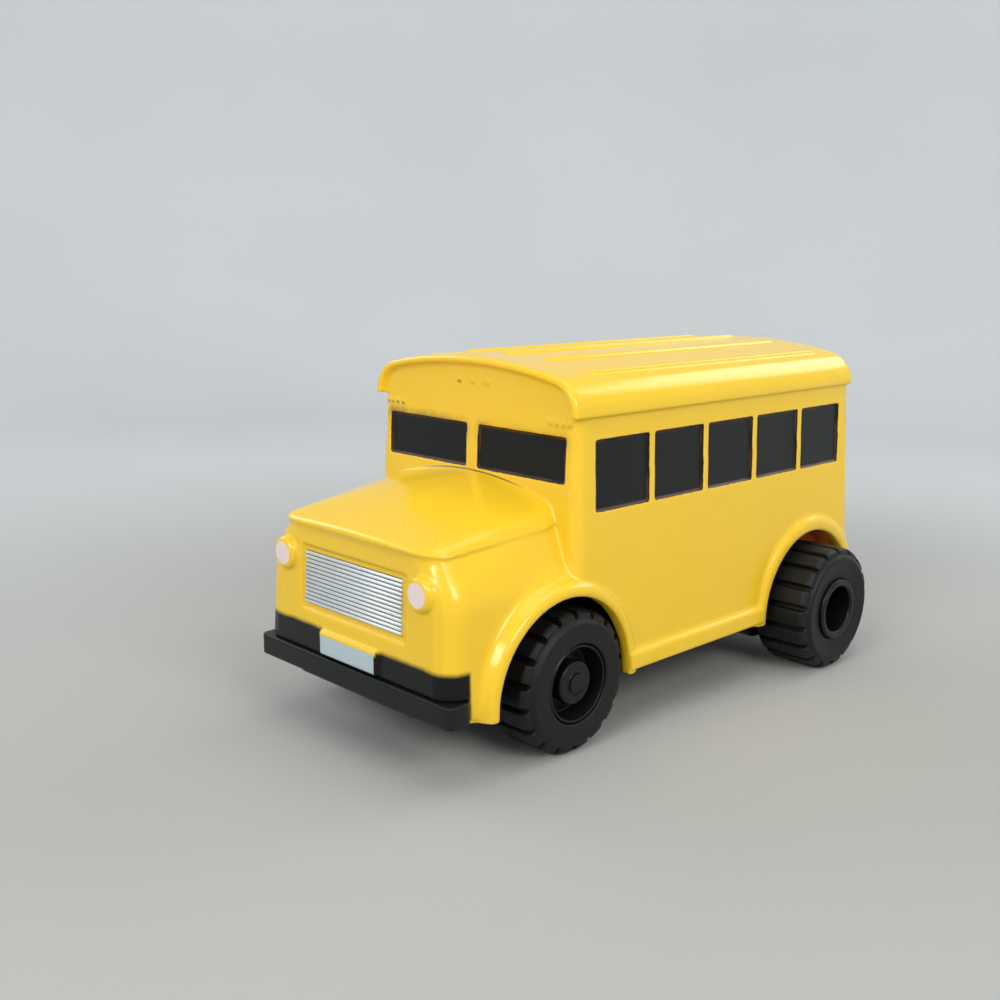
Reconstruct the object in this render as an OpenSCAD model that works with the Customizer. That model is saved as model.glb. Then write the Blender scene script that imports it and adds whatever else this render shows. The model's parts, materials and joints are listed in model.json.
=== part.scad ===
// Toy school bus that follows a drawn line: a moulded body on a chassis with two geared drives.
// Millimetres. The front faces -Y, +X is the bus's left, +Z is up and the floor is at z = 0.

/* [Body] */
// Width of the cabin at the window belt
cabin_w = 40; // [38:0.5:50]
// Length of the cabin at the window belt
cabin_len = 67.2; // [64:0.2:84]
// Length of the bonnet in front of the cabin, at the grille
bonnet_len = 21.2; // [19:0.1:26]
// Height of the roof's crown without its ribs
roof_z = 51.4; // [50:0.1:64]
// Rise of the roof from its eaves to its crown
roof_rise = 6.7; // [5.5:0.1:8]
// Height of the body's lower edge
skirt_z = 9.2; // [8.8:0.1:9.4]
// Thickness of the moulded walls
wall = 1.5; // [1.1:0.1:1.8]
// Draft angle of the moulded walls
draft = 2.25; // [1:0.25:3]
// Radius of the cabin's upright corners
corner_r = 1.8; // [1:0.1:2.5]

/* [Roof] */
// How far the roof stands out over the side walls
eaves_out = 0.3; // [0.1:0.1:0.8]
// How far the front rim of the roof stands out over the front wall
rim_out = 0.8; // [0.4:0.1:1.5]
// Thickness of the front rim of the roof
rim_t = 1.4; // [1:0.1:2]
// Radius of the roof's crown across the cabin
crown_r = 85; // [50:1:120]
// How far the roof stands out over the rear wall
roof_rear_out = 0.8; // [0.3:0.1:1.2]
// Radius of the roof's rear edge
roof_rear_r = 2; // [1:0.1:4]
// Number of long ribs on the roof
roof_ribs = 5; // [1:2:5]
// Distance between the roof's ribs
roof_rib_pitch = 8; // [6:0.1:8]
// Width of a roof rib
roof_rib_w = 1.2; // [0.8:0.1:2]
// Height of a roof rib
roof_rib_h = 0.4; // [0.3:0.1:0.8]
// Distance from the front wall to the ribs' front ends
roof_rib_start = 5.8; // [3:0.1:8]
// Distance from the ribs' rear ends to the rear wall
roof_rib_end = 6; // [4:0.1:10]

/* [Bonnet] */
// Height of the bonnet's crown at the cabin
bonnet_back_z = 35.5; // [33:0.1:35.6]
// Height of the bonnet's crown at the front
bonnet_front_z = 30.6; // [28.5:0.1:32]
// Crown of the bonnet at the cabin
crown_back = 2.3; // [1:0.1:3]
// Crown of the bonnet at the front
crown_front = 0.4; // [0.2:0.1:1]
// How much narrower the bonnet is than the cabin, each side
nose_in = 0.8; // [0.6:0.1:2]
// Height of the shoulder line where the bonnet starts to lean in
bonnet_shoulder_z = 24.2; // [22:0.1:25]
// How far the bonnet's top edge leans in at the cabin
lean_back = 3.3; // [2:0.1:5]
// How far the bonnet bulges out ahead of the cabin's wall
bonnet_bulge = 1; // [0.4:0.1:1.4]
// Length over which the bonnet rounds down to the cabin's wall
bulge_len = 2.4; // [1.5:0.1:3]
// Radius of the bend in the bonnet's sides
bonnet_side_r = 8; // [4:0.5:10]
// Thickness of the bonnet's panel at its front edge
hood_t = 1.4; // [1.2:0.1:2]
// How far the bonnet's panel stands out over the grille
brow_out = 0.7; // [0.4:0.1:1]
// How far the bonnet's top edge leans in at the front
lean_front = 3.7; // [3:0.1:6]
// Radius of the bonnet's long edges at the cabin
bonnet_back_r = 3.2; // [1.5:0.1:3.5]
// Radius of the bonnet's long edges at the front
bonnet_front_r = 1.2; // [0.8:0.1:2]
// Radius of the bonnet's upright front corners
nose_r = 3; // [1:0.1:3.2]
// Radius of the bonnet's front top edge
nose_lip_r = 0.9; // [0.5:0.1:1.5]

/* [Windows] */
// Number of side windows
side_windows = 5; // [3:1:5]
// Width of a side window
window_w = 10.9; // [8:0.1:11.5]
// Height of a side window
window_h = 9.4; // [7:0.1:11]
// Distance between the starts of two side windows
window_pitch = 12.2; // [12:0.1:12.6]
// Distance from the front wall to the first side window
window_start = 3.65; // [3:0.05:6]
// Distance from the eaves down to the side windows
window_drop = 3.1; // [2:0.1:5]
// Height of the windscreen
windscreen_h = 6; // [5:0.1:6.4]
// Distance from the eaves down to the windscreen
windscreen_drop = 2.7; // [2:0.1:3]
// Width of the post in the middle of the windscreen
windscreen_post = 2.4; // [2:0.1:4]
// Distance from the windscreen to the cabin's side
windscreen_edge = 2.3; // [2.2:0.1:4]
// Depth of the sunk windows
window_sink = 0.4; // [0.2:0.05:0.6]
// Width of the rear door's window
rear_window_w = 9.5; // [7:0.1:12]
// Distance between the middles of the rear windows
rear_window_pitch = 12; // [11:0.1:14]

/* [Nose] */
// Width of the grille
grille_w = 20.5; // [16:0.1:22]
// Height of the grille
grille_h = 7.3; // [6:0.1:8]
// Height of the grille's lower edge
grille_z = 18.4; // [17:0.1:19]
// Number of grille bars
grille_bars = 13; // [7:1:15]
// Margin of the sunk frame round the grille
grille_frame = 0.8; // [0.5:0.1:1.2]
// Depth of the sunk frame
grille_sink = 0.5; // [0.3:0.05:0.7]
// Distance from a headlamp's middle to the bonnet's side
lamp_in = 5; // [4:0.1:6]
// Height of the headlamps
lamp_z = 24.7; // [23:0.1:25.5]
// Diameter of a headlamp boss
lamp_d = 4.5; // [3.5:0.1:5]
// How far a headlamp stands out
lamp_out = 1; // [0.8:0.1:1.8]
// Width of the blank number plate
plate_w = 11.7; // [9:0.1:13]
// Height of the blank number plate
plate_h = 3.2; // [2.5:0.1:4]

/* [Bumpers] */
// Height of the bumpers' upper face
bumper_top_z = 11.85; // [11.2:0.05:12.5]
// Height of a bumper bar
bumper_h = 2.95; // [2:0.05:3.2]
// How far the front bumper stands out from the body
bumper_out = 0.6; // [0.4:0.1:2]
// How far the rear bumper stands out from the body
rear_bumper_out = 1.1; // [0.6:0.1:2]
// Depth of the front bumper bar
bumper_depth = 4; // [3:0.1:5]
// Depth of the rear bumper bar
rear_bumper_depth = 2.5; // [2.4:0.1:3]
// Radius of the bumpers' corners
bumper_r = 1.1; // [0.6:0.1:1.15]

/* [Fenders] */
// Gap between the front tyre and its arch
front_arch_gap = 2.6; // [2.2:0.1:2.8]
// How far the front arch's middle lies ahead of the axle
front_arch_ahead = 2; // [1.4:0.1:2.1]
// How far the arches' middles lie above the axles
arch_lift = -0.3; // [-0.4:0.1:0.2]
// Gap between the rear tyre and its arch
rear_arch_gap = 2.4; // [2.2:0.1:2.9]
// Width of the raised band round the front arch
front_band = 3.4; // [2.4:0.1:4]
// Width of the flare round the rear arch
rear_band = 4; // [3:0.1:5]
// How far the fenders reach out past the cabin's half width
fender_out = 1.4; // [1.2:0.1:2]
// Radius of the fenders' rounded edge
fender_r = 1.2; // [0.6:0.1:1.4]
// Height of the fenders' lower ends
fender_z = 8.5; // [8:0.1:8.7]
// Height of the sill between the fenders
sill_h = 2.9; // [2:0.1:4]
// How far the sill stands out
sill_out = 0.7; // [0.4:0.1:1.2]

/* [Wheels] */
// Outside diameter of a tyre over its lugs
tyre_d = 19.6; // [18:0.1:23.6]
// Width of a front tyre
front_tyre_w = 8.4; // [8:0.1:8.8]
// Width of a rear tyre
rear_tyre_w = 10.2; // [9.8:0.1:10.4]
// Number of lugs on a tyre
lugs = 18; // [12:1:20]
// Width of a lug
lug_w = 2.4; // [1.6:0.1:2.6]
// Height of a lug
lug_h = 1; // [0.8:0.1:1.8]
// How far the front tyres reach out past the cabin's half width
front_wheel_out = 1.3; // [1:0.1:3]
// How far the rear tyres reach out past the cabin's half width
rear_wheel_out = 6.8; // [6:0.1:8]
// How far the front axle lies ahead of the cabin's front wall
front_axle_ahead = 0.2; // [0:0.1:2]
// Distance from the rear axle to the cabin's rear wall
rear_overhang = 11.7; // [11:0.1:14]
// Least distance from a rear tyre to the cabin's rear wall
rear_tyre_gap = 1.9; // [1.8:0.1:4]
// Diameter of the front rim
front_rim_d = 11; // [10:0.1:12]
// Diameter of the rear hub
rear_hub_d = 9.8; // [9:0.1:11]
// Diameter of the rear hub's hole
rear_hole_d = 7.4; // [6:0.1:8.4]
// Depth of the rear hub's hole
rear_hole_depth = 5.5; // [3:0.1:6.5]
// Diameter of a front axle pin
axle_pin_d = 3; // [2.4:0.1:3.4]
// Diameter of an axle pin's head
pin_head_d = 6; // [5.5:0.1:7.2]
// How far a pin's head lies inside the tyre's outer face
pin_head_in = 0.6; // [0.4:0.1:2]
// Diameter of a rear shaft
rear_shaft_d = 2; // [1.5:0.1:2.4]

/* [Drive] */
// Tooth module of the gears
gear_module = 0.4; // [0.36:0.01:0.48]
// Teeth of a pinion
pinion_teeth = 10; // [10:1:12]
// Teeth of a large gear
gear_teeth = 20; // [18:1:22]
// Width of a row of teeth
gear_face = 1.4; // [1.2:0.1:1.6]
// Play between two meshed teeth
backlash = 0.08; // [0.06:0.01:0.12]
// Diameter of an idler pin
idler_pin_d = 1.5; // [1.2:0.1:1.8]
// Length of a motor's can
motor_can_len = 7.5; // [6:0.1:7.8]
// Length of a motor's end cap
motor_cap_len = 2; // [1.5:0.1:2.2]
// Width of a motor over its round sides
motor_w = 8.4; // [7:0.1:8.6]
// Height of a motor over its flats
motor_flat = 6.6; // [5.5:0.1:7]
// Diameter of a motor's shaft
motor_shaft_d = 1; // [0.8:0.1:1.2]

/* [Electrics] */
// Diameter of a button cell
cell_d = 11.6; // [9.5:0.1:14]
// Height of a button cell
cell_h = 5.4; // [3.6:0.1:5.6]
// Number of button cells
cells = 3; // [2:1:3]
// Distance from the cabin's front wall to the battery bay
bay_start = 4; // [4:0.1:5]
// Width of the circuit board
board_w = 18; // [14:0.5:20]
// Thickness of a circuit board
board_t = 1.2; // [0.8:0.1:1.6]
// Diameter of the line sensor's two parts
sensor_d = 3; // [2.4:0.1:3.2]
// Travel of the power switch
switch_travel = 2; // [1.5:0.1:2.5]

/* [Screws and fits] */
// Thickness of the chassis tray
tray_t = 1.2; // [1:0.1:1.5]
// Diameter of the screws that hold the body
body_screw_d = 2; // [1.7:0.1:2.3]
// Length of the screws that hold the body
body_screw_len = 10; // [8:0.5:12]
// Diameter of the small screws
small_screw_d = 1.7; // [1.4:0.1:2]
// Radial clearance where a part turns on a pin
run_clear = 0.05; // [0.03:0.01:0.08]
// Radial clearance where a part is pushed in or screwed down
fit_clear = 0.03; // [0.02:0.01:0.05]
// Side clearance beside parts that turn
side_clear = 0.4; // [0.3:0.05:0.5]
// Clearance round parts that are dropped in
drop_clear = 0.2; // [0.15:0.05:0.3]

/* [Hidden] */
$fn = 64;
HULL_FN = 32;
EPS = 0.01;
CUT = 40;
ARC_STEPS = 4;
FORM_STEPS = 6;
CROWN_STEPS = 5;
NOSE_STEPS = 3;
YELLOW = "#f7c51e";
BLACK = "#1d1f20";
RUBBER = "#26282a";
STEEL = "#c3c7cb";
WHITE = "#e9e6df";
GREEN = "#2f6b45";
AMBER = "#d9b25c";

half_w = cabin_w / 2;
eaves_z = roof_z - roof_rise;
belt_drop = 7.7;
belt_z = eaves_z - belt_drop;
lean = tan(draft);
nose_z = 22;

// The cabin's front wall lies at y0, so that the bumpers' ends are equally far from the origin.
front_reach = bonnet_len + (nose_z - bumper_top_z) * lean + bumper_out;
rear_reach = cabin_len + (belt_z - bumper_top_z) * lean + rear_bumper_out;
y0 = (front_reach - rear_reach) / 2;
front_end_y = y0 - front_reach;
rear_end_y = y0 + rear_reach;

// Wall places at a height: cabin side, cabin front, cabin rear and nose
function side_x(z) = half_w + (belt_z - z) * lean;
function front_y(z) = y0 - (belt_z - z) * lean;
function rear_y(z) = y0 + cabin_len + (belt_z - z) * lean;
function nose_y(z) = y0 - bonnet_len - (nose_z - z) * lean;
function crown_z(x) = roof_z - x * x / (2 * crown_r);
SHOULDER = 1.1;
shoulder_r = (crown_z(half_w + eaves_out) - eaves_z) * SHOULDER;
nose_half = half_w - nose_in;
function nose_x(z) = nose_half + (bonnet_shoulder_z - z) * lean;

// Wheels
axle_z = tyre_d / 2;
tyre_r = tyre_d / 2;
front_axle_y = y0 - front_axle_ahead;
rear_axle_y = y0 + cabin_len - max(rear_overhang, tyre_r + rear_tyre_gap);
front_out_x = half_w + front_wheel_out;
rear_out_x = half_w + rear_wheel_out;
front_in_x = front_out_x - front_tyre_w;
rear_in_x = rear_out_x - rear_tyre_w;
arch_z = axle_z + arch_lift;
front_arch_y = front_axle_y - front_arch_ahead;
front_arch_r = tyre_r + front_arch_gap;
rear_arch_r = tyre_r + rear_arch_gap;
fender_x = half_w + fender_out;
fender_trim = 0.15;
well_t = 1;

// Gear train: wheel gear, idler and motor stand in one row at the axle's height
pinion_r = gear_module * pinion_teeth / 2;
gear_r = gear_module * gear_teeth / 2;
PRESSURE = 20;
PINION_ADDENDUM = 1;
GEAR_ADDENDUM = 0.7;
DEDENDUM = 1.25;
gear_tip_r = gear_r + GEAR_ADDENDUM * gear_module;
centre_dist = pinion_r + gear_r;
even_teeth = gear_teeth % 2 == 0;
idler_y = rear_axle_y - centre_dist;
motor_y = idler_y - centre_dist;

// Places along X from the rear tyre inwards
gear_wall_t = 1;
gear_gap = 0.2;
outer_wall_x1 = rear_in_x - side_clear;
outer_wall_x0 = outer_wall_x1 - gear_wall_t;
big_x1 = outer_wall_x0 - side_clear;
big_x0 = big_x1 - gear_face;
small_x1 = big_x0 - gear_gap;
small_x0 = small_x1 - gear_face;
tray_x1 = small_x0 - side_clear;
tray_x0 = tray_x1 - tray_t;
motor_x1 = tray_x0 - drop_clear;
motor_x0 = motor_x1 - motor_can_len;
cap_x0 = motor_x0 - motor_cap_len;

// Chassis heights and ends. The tray lies under the motors, and the gear bays reach lower behind the wheels.
tray_z1 = axle_z - motor_flat / 2 - drop_clear;
tray_z0 = tray_z1 - tray_t;
gear_room = gear_tip_r + drop_clear;
bay_low_z = axle_z - gear_room - gear_wall_t;
bay_front_z = axle_z - pinion_r - gear_module - drop_clear - gear_wall_t;
flange_t = 1.5;
flange_z1 = skirt_z + 0.3;
flange_z0 = flange_z1 - flange_t;
ear_r = 2.3;
rear_bumper_in = 1.3;
tray_ahead = 12.5;
tray_y0 = y0 - tray_ahead;
tray_y1 = rear_axle_y + gear_tip_r + drop_clear + tray_t;
pod_y0 = motor_y - pinion_r - gear_module - drop_clear - gear_wall_t;
step_y0 = idler_y - gear_room * 1.2;
step_y1 = idler_y - gear_room * 0.4;
flange_half = side_x(flange_z1) - wall - drop_clear;
flange_y0 = nose_y(flange_z1) + wall + drop_clear;
flange_y1 = rear_y(flange_z1) - wall - drop_clear;
wheel_room = 1.2;

// Screw posts between body and chassis
post_x = 12;
post_r = 2.4;
post_ahead = 16;
front_post_y = y0 - post_ahead;
rear_post_y = max(rear_y(flange_z1) - wall - post_r - drop_clear, tray_y1 + post_r + drop_clear);
body_head_d = body_screw_d + 1.8;
body_head_h = 1.4;
boss_r = body_head_d / 2 + 0.8;
boss_top_t = 1.3;
screw_seat_z = flange_z0 + body_head_h + drop_clear;
post_z0 = screw_seat_z + boss_top_t;
post_bore_len = body_screw_len - boss_top_t + drop_clear;

// Motor clamp
clamp_t = 1.2;
clamp_post_r = 2.2;
clamp_z0 = axle_z + motor_flat / 2 + run_clear;
clamp_z1 = clamp_z0 + clamp_t;
clamp_front_y = motor_y - motor_w / 2 - clamp_post_r - 0.4;
clamp_rear_y = motor_y + motor_w / 2 + clamp_post_r + 0.4;
clamp_screw_len = 6;
small_head_h = 1;

// Battery bay, with the cells on edge in a row along Y. The bay, its door and the switch stand in one row
// that ends ahead of the motor clamp, and the row moves forward where the motors need the room.
bay_wall = 1.2;
bay_clear = 0.4;
contact_t = 0.3;
leaf_reach = 2.2;
bay_half = cell_d / 2 + bay_clear;
bay_len = cells * cell_h + contact_t * 2 + leaf_reach + drop_clear;
door_screw_back = 3.2;
door_end = 2.3;
switch_l = 4;
switch_gap = 0.6;
row_len = bay_len + door_screw_back + door_end + switch_gap + switch_l;
bay_y0 = min(y0 + bay_start, clamp_front_y - clamp_post_r - switch_gap - row_len);
bay_y1 = bay_y0 + bay_len;
cell_z = tray_z1 + run_clear + cell_d / 2;
bay_z1 = cell_z + cell_d / 2 + bay_clear;
bay_top_z = bay_z1 + bay_wall;
door_y0 = bay_y0 - 1.6;
door_screw_y = bay_y1 + door_screw_back;
door_y1 = door_screw_y + door_end;
tongue_len = 1;
tongue_t = 0.8;
small_head_d = small_screw_d + 1.7;
door_head_h = 0.6;
small_boss_r = 2.3;
door_screw_len = 5;

// Power switch behind the battery door
switch_w = 8.6;
switch_h = 3.6;
switch_y = door_y1 + switch_gap + switch_l / 2;
knob_w = 2;
knob_l = 1.8;
knob_base_w = 3;
knob_base_h = 1;
knob_rest_x = -switch_travel / 2;
knob_tip_z = tray_z0 + 0.1;

// Circuit board over the battery bay and sensor board in the front of the tray
standoff_h = 2;
standoff_r = 1.9;
board_z0 = bay_top_z + standoff_h;
board_z1 = board_z0 + board_t;
board_len = bay_len + 5;
board_y0 = bay_y0 - 1.5;
standoff_front_y = bay_y0 + 3;
standoff_rear_y = bay_y1 - 3;
board_screw_len = 4;
chip_w = 5;
chip_l = 6.2;
chip_h = 1.6;
chip_lead = 0.9;
sensor_y = tray_y0 + tray_t + 2.6;
sensor_x = 2.4;
sensor_board_w = 14;
sensor_board_l = 4.6;
sensor_body_h = 4.2;
sensor_tip_z = tray_z0 + 0.15;
sensor_board_z = sensor_tip_z + sensor_body_h;
sensor_post_x = 5.6;

// Outlines with rounded corners
function unit(v) = v / norm(v);
function wrap(a) = a > 180 ? a - 360 : a < -180 ? a + 360 : a;

// Arc of radius r in the corner b between the points a and c
function corner_arc(a, b, c, r, steps = ARC_STEPS) =
    let (
        u = unit(a - b),
        v = unit(c - b),
        half = acos(u * v) / 2,
        middle = b + unit(u + v) * r / sin(half),
        from = b + u * r / tan(half) - middle,
        to = b + v * r / tan(half) - middle,
        start = atan2(from.y, from.x),
        turn = wrap(atan2(to.y, to.x) - start)
    )
    [for (i = [0 : steps]) let (a = start + turn * i / steps) middle + r * [cos(a), sin(a)]];

// Outline through the points, with each corner rounded by its radius
function rounded(points, radii) =
    let (n = len(points))
    [for (i = [0 : n - 1]) each radii[i] == 0
        ? [points[i]]
        : corner_arc(points[(i + n - 1) % n], points[i], points[(i + 1) % n], radii[i])];

function mirrored(points) = [for (i = [len(points) - 1 : -1 : 0]) [-points[i].x, points[i].y]];

// Places that repeat on both sides
module both_sides() {
    children();
    mirror([1, 0, 0]) children();
}

// Turns a shape drawn round Z so that its axis lies along X, with its own X along Y
module along_x(x, y, z) translate([x, y, z]) rotate([90, 0, 90]) children();

// Rod along X from x0 to x1
module rod(x0, x1, y, z, r) along_x(x0, y, z) cylinder(h = x1 - x0, r = r);

// Box between two corners
module box(low, high) translate(low) cube(high - low);

// Upright block with rounded corners
module rounded_block(x, y_low, y_high, z_low, z_high, r) {
    box([-x + r, y_low, z_low], [x - r, y_high, z_high]);
    box([-x, y_low + r, z_low], [x, y_high - r, z_high]);
    for (px = [-x + r, x - r], py = [y_low + r, y_high - r])
        translate([px, py, z_low]) cylinder(h = z_high - z_low, r = r);
}

// Cabin walls as a block with draft and rounded corners
module cabin_block(inset, low_z) {
    r = corner_r;
    hull()
        for (z = [low_z, eaves_z], px = [-1, 1], py = [0, 1])
            translate([
                px * (side_x(z) - inset - r),
                py == 0 ? front_y(z) + inset + r : rear_y(z) - inset - r,
                z
            ])
                cylinder(h = EPS, r = r, $fn = HULL_FN);
}

// Half of the roof's outline, from the eaves to the middle
function roof_half(inset) =
    let (
        x = half_w + eaves_out - inset,
        top = crown_z(x) - inset,
        flat_x = x - shoulder_r - 2
    )
    concat(
        corner_arc([x, eaves_z - CUT], [x, top], [flat_x, crown_z(flat_x) - inset], shoulder_r - inset / 2,
            FORM_STEPS),
        [for (i = [CROWN_STEPS : -1 : 0]) let (px = flat_x * i / CROWN_STEPS) [px, crown_z(px) - inset]]
    );

module roof_outline(inset, low_z) {
    half = roof_half(inset);
    x = half_w + eaves_out - inset;
    polygon(concat([[-x, low_z], [x, low_z]], half, mirrored([for (i = [0 : len(half) - 2]) half[i]])));
}

// Extrudes an outline of X and Z along Y
module along_y(y_low, y_high)
    translate([0, y_high, 0]) rotate([90, 0, 0]) linear_extrude(y_high - y_low) children();

// Extrudes an outline of Y and Z along X
module across(x_low, x_high)
    translate([x_low, 0, 0]) rotate([90, 0, 90]) linear_extrude(x_high - x_low) children();

// Thin slice of the roof across the cabin
module roof_slice(y, inset, low_z)
    translate([0, y, 0]) rotate([90, 0, 0]) linear_extrude(EPS) roof_outline(inset, low_z);

// Roof with a rolled rim over the front wall and a rounded rear edge
module roof() {
    y_low = y0 - rim_out;
    y_high = rear_y(eaves_z) + roof_rear_out;
    rim_r = rim_t / 2;
    flare = rim_r * 0.9;
    difference() {
        hull()
            for (i = [0 : NOSE_STEPS]) {
                a = 90 * i / NOSE_STEPS;
                roof_slice(y_low + rim_r * (1 - sin(a)), rim_r * (1 - cos(a)), eaves_z);
                roof_slice(y_high - roof_rear_r * (1 - sin(a)), roof_rear_r * (1 - cos(a)), eaves_z);
            }
        hull() {
            roof_slice(y_low - 1, rim_t - flare, eaves_z - 1);
            for (i = [0 : NOSE_STEPS]) {
                a = 90 * i / NOSE_STEPS;
                roof_slice(y_low + flare * (1 - sin(a)), rim_t - flare * (1 - cos(a)), eaves_z - 1);
            }
            roof_slice(front_y(eaves_z), rim_t, eaves_z - 1);
        }
    }
}

// Long ribs with sloped ends
module roof_ribs() {
    span = (roof_ribs - 1) / 2;
    y_low = y0 + roof_rib_start;
    y_high = y0 + cabin_len - roof_rib_end;
    slope = 1.2;
    root = 0.4;
    for (i = [-span : span]) {
        x = i * roof_rib_pitch;
        translate([x, 0, crown_z(x)]) rotate([0, asin(x / crown_r), 0])
            across(-roof_rib_w / 2, roof_rib_w / 2) polygon([[y_low, -root], [y_high, -root],
                [y_high - slope, roof_rib_h], [y_low + slope, roof_rib_h]]);
    }
}

// Crown of a bonnet section, from near its corner to the middle
function crown_line(corner, crown, r) =
    let (flat_x = corner.x - r - 1)
    [for (i = [CROWN_STEPS : -1 : 0])
        let (x = flat_x * i / CROWN_STEPS) [x, corner.y + crown * (1 - pow(x / corner.x, 2))]];

// Half of a section of the bonnet, from its lower edge over the bend in its side to its crown
function bonnet_half(half, low_z, knee_z, corner, crown, r) =
    let (
        low = [half + (knee_z - low_z) * lean, low_z],
        knee = [half, knee_z],
        top = crown_line(corner, crown, r)
    )
    concat([low], corner_arc(low, knee, corner, bonnet_side_r),
        corner_arc(knee, corner, top[0], r, FORM_STEPS), top);

// Half of a section of the bonnet's panel, which stands out a little over the side under it
function hood_half(half, knee_z, corner, crown, r, t) =
    let (
        down = unit([half, knee_z] - corner),
        out = [-down.y, down.x] * hood_proud,
        top = crown_line(corner, crown, r)
    )
    concat([corner + down * t + out], corner_arc(corner + down * t + out, corner + out / 2, top[0], r), top);

// Thin slice with a half outline and its mirror image
module half_slice(y, tilt, line)
    translate([0, y, 0]) rotate([90 - tilt, 0, 0]) linear_extrude(EPS)
        polygon(concat(line, mirrored([for (i = [0 : len(line) - 2]) line[i]])));

// The bonnet's crown falls evenly from the cabin to the nose
hood_proud = 0.25;
bonnet_fall = (bonnet_back_z - bonnet_front_z) / bonnet_len;
function back_corner(a) = [nose_half - lean_back - bonnet_bulge * (1 - cos(a)),
    bonnet_back_z - crown_back - bonnet_fall * bulge_len * (1 - sin(a))];
function back_half(a) = nose_half - BULGE_LOW * bonnet_bulge * (1 - cos(a));
front_corner = [nose_half - lean_front, bonnet_front_z - crown_front];
BULGE_LOW = 0.3;
CORNER_INSET = 0.8;
nose_tuck = 0.3;

// Bonnet with its side panels: a loft from the nose to the cabin
module bonnet(inset, low_z, front_in, back_y) {
    knee_z = bonnet_shoulder_z - inset / 2;
    shift = [inset * CORNER_INSET, inset + hood_proud];
    steps = inset > 0 ? 1 : NOSE_STEPS;
    hull() {
        half_slice(back_y, 0, bonnet_half(back_half(90) - inset, low_z, knee_z, back_corner(90) - shift,
            crown_back, bonnet_back_r));
        for (i = [0 : steps]) {
            a = 90 * i / steps;
            half_slice(y0 - bulge_len * (1 - sin(a)), 0, bonnet_half(back_half(a) - inset, low_z, knee_z,
                back_corner(a) - shift, crown_back, bonnet_back_r));
            side_in = nose_r * (1 - cos(a));
            lip_in = nose_lip_r * (1 - cos(a));
            half_slice(nose_y(0) + front_in + nose_r * (1 - sin(a)), draft,
                bonnet_half(nose_half - inset - side_in, low_z, knee_z,
                    front_corner - shift - [side_in, lip_in], crown_front, bonnet_front_r));
        }
    }
}

// Panel on top of the bonnet, with a soft brow over the grille
module hood() {
    back_t = 2.6;
    brow_top = 0.8;
    brow_low = 0.3;
    brow_y = nose_y(bonnet_front_z) - brow_out;
    hull()
        for (i = [0 : NOSE_STEPS]) {
            a = 90 * i / NOSE_STEPS;
            half_slice(y0 - bulge_len * (1 - sin(a)) + (i == NOSE_STEPS ? wall / 2 : 0), 0,
                hood_half(back_half(a), bonnet_shoulder_z, back_corner(a),
                    crown_back, bonnet_back_r, back_t));
            side_in = nose_r * (1 - cos(a));
            t = hood_t - (brow_top + brow_low) * (1 - cos(a));
            half_slice(brow_y + nose_r * (1 - sin(a)), 0, hood_half(nose_half - side_in, bonnet_shoulder_z,
                front_corner - [side_in, brow_top * (1 - cos(a))], crown_front, min(bonnet_front_r, t), t));
        }
}

// Section of a fender, drawn with the radius along X and the width along Y. From its rounded edge it falls
// in two slopes to the side wall. It starts inside the arch, and the wheel's opening trims it.
module fender_section(arch_r, band, side, root) {
    r0 = arch_r - fender_trim;
    r1 = arch_r + band;
    foot_at = 0.66;
    foot_rise = 0.3;
    crest_at = 0.4;
    crest_r = fender_r * 0.7;
    foot = [arch_r + band * foot_at, side + (fender_x - side) * foot_rise];
    crest = [arch_r + band * crest_at, fender_x];
    polygon(rounded([[r0, root], [r1, root], [r1, side], foot, crest, [r0, fender_x]],
        [0, 0, 0, 0, crest_r, fender_r / 2]));
}

module front_fender_section()
    fender_section(front_arch_r, front_band, nose_half - nose_tuck, nose_half - wall);

module rear_fender_section() fender_section(rear_arch_r, rear_band, half_w, half_w - wall);

// Half ring over a wheel
module arch_ring(y) along_x(0, y, arch_z) rotate_extrude(angle = 180) children();

// Straight leg of an arch down to the fender's lower end, ahead of the wheel or behind it
module arch_leg(y, ahead) translate([0, y, fender_z]) linear_extrude(arch_z - fender_z)
    mirror([0, ahead ? 1 : 0]) mirror([1, -1]) children();

module fenders() {
    intersection() {
        both_sides() {
            arch_ring(front_arch_y) front_fender_section();
            arch_leg(front_arch_y, true) front_fender_section();
            arch_leg(front_arch_y, false) front_fender_section();
            arch_ring(rear_axle_y) rear_fender_section();
            arch_leg(rear_axle_y, true) rear_fender_section();
        }
        box([-fender_x, front_end_y, fender_z], [fender_x, rear_y(arch_z), eaves_z]);
    }
}

// Raised sill along the skirt between the fenders
module sills() {
    z1 = skirt_z + sill_h;
    x0 = side_x(skirt_z);
    x1 = side_x(z1);
    both_sides()
        along_y(front_arch_y + front_arch_r, rear_axle_y - rear_arch_r - 1)
            polygon([[x0 - wall, skirt_z], [x0 + sill_out, skirt_z], [x1 + sill_out, z1 - sill_out], [x1, z1],
                [x1 - wall, z1]]);
}

// Tubs over the rear wheels that close the body round them, hollowed by the wheels' openings
module rear_wells() {
    z_low = axle_z + ear_r + drop_clear;
    intersection() {
        both_sides() rod(outer_wall_x0 + 0.1, half_w - wall / 2, rear_axle_y, arch_z, rear_arch_r + well_t);
        box([-half_w, front_y(z_low), z_low], [half_w, rear_y(eaves_z) - wall / 2, eaves_z]);
    }
}

// Screw posts inside the body
module shell_posts() {
    front_top = bonnet_front_z - crown_front;
    rear_top = crown_z(post_x + post_r) - wall / 2;
    for (x = [-post_x, post_x]) {
        translate([x, front_post_y, post_z0]) cylinder(h = front_top - post_z0, r = post_r);
        translate([x, rear_post_y, post_z0]) cylinder(h = rear_top - post_z0, r = post_r);
    }
}

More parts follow.
